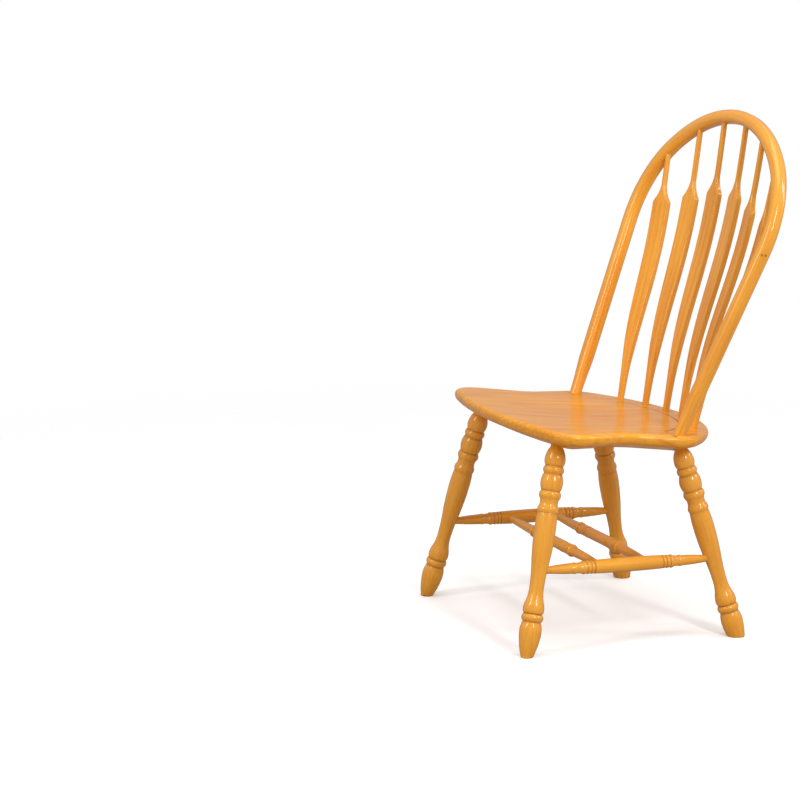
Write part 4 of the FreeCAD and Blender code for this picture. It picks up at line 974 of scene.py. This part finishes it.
def seat_slab(bm, thickness):
    """Fill the outline and give it the edge's profile by insets above and below."""
    face = bmesh.ops.contextual_create(bm, geom=bm.edges)["faces"][0]
    slope = math.atan2(BEVEL_UP, BEVEL_IN)
    turn = math.pi / 2 - slope
    wall_end = thickness / MM - BEVEL_UP - BEVEL_ROUND * math.tan(turn / 2)
    bmesh.ops.translate(bm, verts=bm.verts, vec=(0, 0, -RIM_ROUND * MM))
    made = bmesh.ops.extrude_face_region(bm, geom=[face], use_keep_orig=True)["geom"]
    under = only(bmesh.types.BMFace, made)[0]
    bmesh.ops.translate(bm, verts=list(under.verts), vec=(0, 0, (RIM_ROUND - wall_end) * MM))
    for flat, up in ((face, 1), (under, -1)):
        flat.normal_update()
        if flat.normal.z * up < 0:
            flat.normal_flip()
    softened = quarter_round(BEVEL_ROUND, turn, 8)
    below = softened + [(BEVEL_IN, thickness / MM - wall_end)]
    above = quarter_round(RIM_ROUND, math.pi / 2, 8)
    for shrunk, profile in ((under, below), (face, above)):
        for (in1, out1), (in2, out2) in zip(profile, profile[1:]):
            bmesh.ops.inset_region(bm, faces=[shrunk], use_even_offset=True,
                                   thickness=(in2 - in1) * MM, depth=(out2 - out1) * MM)


def dish_top(bm, depth):
    """Cut the top into a grid and press its middle down."""
    near_top = -1e-5
    for axis, (low, high) in enumerate(DISH_SPAN):
        way = [0, 0, 0]
        way[axis] = 1
        count = round((high - low) / DISH_GRID)
        for step in range(count + 1):
            place = [0, 0, 0]
            place[axis] = low + (high - low) * step / count
            top = [f for f in bm.faces
                   if f.normal.z > 0.999 and f.calc_center_median().z > near_top]
            # A dictionary drops repeats as a set does, and keeps the order.
            region = dict.fromkeys(part for f in top for part in (f, *f.edges, *f.verts))
            bmesh.ops.bisect_plane(bm, geom=list(region), plane_co=place, plane_no=way)
    for vert in bm.verts:
        if vert.co.z > near_top:
            away = math.hypot(vert.co.x, vert.co.y - DISH_Y) / DISH_RADIUS
            vert.co.z -= depth * max(0, 1 - away ** 2) ** 2


def line_way():
    """Points and directions of the carved line, from its left end to its right end."""
    centre_y = LINE_BACK - LINE_RADIUS
    turn = math.asin(LINE_END_X / LINE_RADIUS)
    end_y = centre_y + LINE_RADIUS * math.cos(turn)
    steps = 72
    way = [(Vector((300, end_y, 0)), Vector((-1, 0, 0)))]
    for step in range(steps + 1):
        angle = turn * (1 - 2 * step / steps)
        forward = Vector((-math.cos(angle), math.sin(angle), 0))
        if step in (0, steps):
            forward = (forward + Vector((-1, 0, 0))).normalized()
        out = Vector((math.sin(angle), math.cos(angle), 0))
        way.append((out * LINE_RADIUS + Vector((0, centre_y, 0)), forward))
    return way + [(Vector((-300, end_y, 0)), Vector((-1, 0, 0)))]


def line_distance(x, y):
    """Distance in millimetres of a point of the top from the carved line."""
    centre_y = LINE_BACK - LINE_RADIUS
    end_y = centre_y + math.sqrt(LINE_RADIUS ** 2 - LINE_END_X ** 2)
    if abs(x) > LINE_END_X:
        return abs(y - end_y)
    return abs(math.hypot(x, y - centre_y) - LINE_RADIUS) if y > end_y - 10 else LINE_RADIUS


def gouge():
    """The rounded gouge along the carved line, as a closed mesh to cut with."""
    stations = []
    for place, forward in line_way():
        up = Vector((0, 0, 1))
        matrix = Matrix((up.cross(forward), up, forward)).transposed().to_4x4()
        matrix.translation = place * MM
        width = 2 * LINE_HALF_WIDTH * MM
        stations.append((rounded_ring(width, width, width / 2 * NEARLY_ROUND, 3), matrix, 0.0))
    return loft(stations, 0)


def carve(bm, cutter):
    """Cut one closed mesh away from another."""
    objects = []
    for name, source in (("carved", bm), ("carver", cutter)):
        bmesh.ops.recalc_face_normals(source, faces=source.faces)
        mesh = bpy.data.meshes.new(name)
        source.to_mesh(mesh)
        source.free()
        objects.append(bpy.data.objects.new(name, mesh))
        bpy.context.scene.collection.objects.link(objects[-1])
    cut = objects[0].modifiers.new("carve", "BOOLEAN")
    cut.operation = "DIFFERENCE"
    cut.solver = "EXACT"
    cut.object = objects[1]
    result = bmesh.new()
    result.from_object(objects[0], bpy.context.evaluated_depsgraph_get())
    for carved in objects:
        mesh = carved.data
        bpy.data.objects.remove(carved)
        bpy.data.meshes.remove(mesh)
    return result


class CHAIR_OT_seat(bpy.types.Operator):
    """Shape the seat from its outline, carve its line and part it into its glued boards"""
    bl_idname = "chair.seat"
    bl_label = "Seat"

    def execute(self, context):
        sizes = context.scene.chair_sizes
        blank = bmesh.new()
        new_layers(blank)
        seat_outline(blank)
        seat_slab(blank, sizes.seat_thickness)
        dish_top(blank, sizes.dish_depth)
        blank = carve(blank, gouge())
        tilt = Matrix.Translation(on_seat(sizes, 0, 0)) @ Matrix.Rotation(-sizes.seat_tilt, 4, "X")
        wood = lacquered_wood("seat")
        for number, (low, high) in enumerate(zip(SEAMS, SEAMS[1:]), start=1):
            board = blank.copy()
            for limit, way in ((low, -1), (high, 1)):
                saw(board, (limit * MM, 0, 0), (way, 0, 0))
            grain = board.verts.layers.float_vector["grain_place"]
            groove = board.verts.layers.float["groove_depth"]
            # Every second board is turned round, so that no figure runs on over a seam.
            turn = 1 if number % 2 else -1
            for vert in board.verts:
                x, y, z = vert.co
                # The carved line gets the full groove depth, which paints it darker.
                below_top = -0.002 < z < -0.0002
                in_line = below_top and line_distance(x / MM, y / MM) < LINE_HALF_WIDTH
                vert[groove] = 1.0 if in_line else 0.0
                vert[grain] = (x * turn + 0.21 * number, z + 0.013 * number,
                               y * turn + 0.9 * number)
            bmesh.ops.transform(board, matrix=tilt, verts=board.verts)
            finish_piece(board, "seat_board_%d" % number, "shaped", wood)
        blank.free()
        return {"FINISHED"}


class CHAIR_OT_screws(bpy.types.Operator):
    """Give the two screws under the bow's feet their plated finish"""
    bl_idname = "chair.screws"
    bl_label = "Screws"

    def execute(self, context):
        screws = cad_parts["bow_screws"]
        screws.data.materials.clear()
        screws.data.materials.append(plated_steel())
        return {"FINISHED"}


# Stage

def add_floor(scene):
    """The floor, which fades into the white backdrop away from the chair."""
    bm = bmesh.new()
    bmesh.ops.create_circle(bm, cap_ends=True, segments=96, radius=FLOOR_RADIUS)
    mesh = bpy.data.meshes.new("floor")
    bm.to_mesh(mesh)
    bm.free()
    floor = bpy.data.objects.new("floor", mesh)
    scene.collection.objects.link(floor)
    material, net, shader = new_material("pale_floor")
    # The camera sees a paler floor than the chair does, so that undersides stay dark.
    seen = net.add("LightPath", {})["Is Camera Ray"]
    place = net.add("TexCoord", {})["Object"]
    away = net.add("VectorMath", {0: place}, operation="LENGTH")["Value"]
    net.fill(shader, {
        "Base Color": net.mixed(seen, FLOOR_GREY, FLOOR_PALE), "Roughness": 0.9,
        "Emission Color": net.mixed(seen, (0, 0, 0, 1), FLOOR_LIFT), "Emission Strength": 1.0,
        "Specular IOR Level": 0.1, "Alpha": net.ranged(away, *FLOOR_FADE, 1.0, 0.0),
    })
    mesh.materials.append(material)


def add_world(scene):
    """White to the camera, dimmer to the chair and dimmest in what the lacquer mirrors."""
    scene.world = bpy.data.worlds.new("studio")
    scene.world.use_nodes = True
    net = Net(scene.world.node_tree)
    path = net.add("LightPath", {})
    seen = net.ranged(path["Is Camera Ray"], 0, 1, AMBIENT, BACKDROP)
    less = net.ranged(path["Is Glossy Ray"], 0, 1, 0, LESS_MIRRORED)
    net.fill(net.nodes["Background"], {"Color": (1, 1, 1, 1),
                                       "Strength": net.maths("SUBTRACT", seen, less)})


def add_light(scene, name, place, aim_height, size, power):
    """An area light that shines at a point above the middle of the floor."""
    lamp = bpy.data.lights.new(name, "AREA")
    lamp.shape = "RECTANGLE"
    lamp.size, lamp.size_y = size
    lamp.energy = power
    light = bpy.data.objects.new(name, lamp)
    light.location = place
    light.rotation_mode = "QUATERNION"
    way = Vector((0, 0, aim_height)) - Vector(place)
    light.rotation_quaternion = way.to_track_quat("-Z", "Y")
    scene.collection.objects.link(light)


def add_camera(scene):
    """The photo's camera."""
    camera = bpy.data.cameras.new("camera")
    camera.sensor_width, camera.lens, camera.clip_end = CAMERA_SENSOR, CAMERA_LENS, 100
    holder = bpy.data.objects.new("camera", camera)
    scene.collection.objects.link(holder)
    azimuth, elevation, roll = [math.radians(angle) for angle in CAMERA_TURN]
    back = Vector((math.sin(azimuth) * math.cos(elevation),
                   -math.cos(azimuth) * math.cos(elevation), math.sin(elevation)))
    right = Vector((math.cos(azimuth), math.sin(azimuth), 0))
    up = back.cross(right)
    turned_right = right * math.cos(roll) + up * math.sin(roll)
    turned_up = up * math.cos(roll) - right * math.sin(roll)
    matrix = Matrix((turned_right, turned_up, back)).transposed().to_4x4()
    matrix.translation = CAMERA_PLACE
    holder.matrix_world = matrix
    scene.camera = holder


class CHAIR_OT_stage(bpy.types.Operator):
    """Set the floor, the studio light and the camera"""
    bl_idname = "chair.stage"
    bl_label = "Stage"

    def execute(self, context):
        scene = context.scene
        add_floor(scene)
        add_world(scene)
        for name, (place, aim_height, size, power) in LIGHTS.items():
            add_light(scene, name, place, aim_height, size, power)
        add_camera(scene)
        scene.view_settings.view_transform = "Standard"
        return {"FINISHED"}


class CHAIR_PT_pieces(bpy.types.Panel):
    """The chair's pieces, sizes and finish"""
    bl_label = "Bow-back chair"
    bl_idname = "CHAIR_PT_pieces"
    bl_space_type = "VIEW_3D"
    bl_region_type = "UI"
    bl_category = "Chair"

    def draw(self, context):
        layout = self.layout
        for operator in OPERATORS:
            layout.operator(operator.bl_idname)
        for group in (context.scene.chair_sizes, context.scene.chair_finish):
            box = layout.box()
            for name in group.__annotations__:
                box.prop(group, name)


OPERATORS = (CHAIR_OT_stage, CHAIR_OT_seat, CHAIR_OT_legs, CHAIR_OT_stretchers, CHAIR_OT_bow,
             CHAIR_OT_spindles, CHAIR_OT_screws)
CLASSES = (ChairSizes, ChairFinish, *OPERATORS, CHAIR_PT_pieces)


def register():
    for cls in CLASSES:
        bpy.utils.register_class(cls)
    bpy.types.Scene.chair_sizes = PointerProperty(type=ChairSizes)
    bpy.types.Scene.chair_finish = PointerProperty(type=ChairFinish)


def unregister():
    del bpy.types.Scene.chair_finish
    del bpy.types.Scene.chair_sizes
    for cls in reversed(CLASSES):
        bpy.utils.unregister_class(cls)


def main():
    register()
    bpy.ops.chair.stage()
    bpy.ops.chair.seat()
    bpy.ops.chair.legs()
    bpy.ops.chair.stretchers()
    bpy.ops.chair.bow()
    bpy.ops.chair.spindles()
    bpy.ops.chair.screws()


if __name__ == "__main__":
    main()
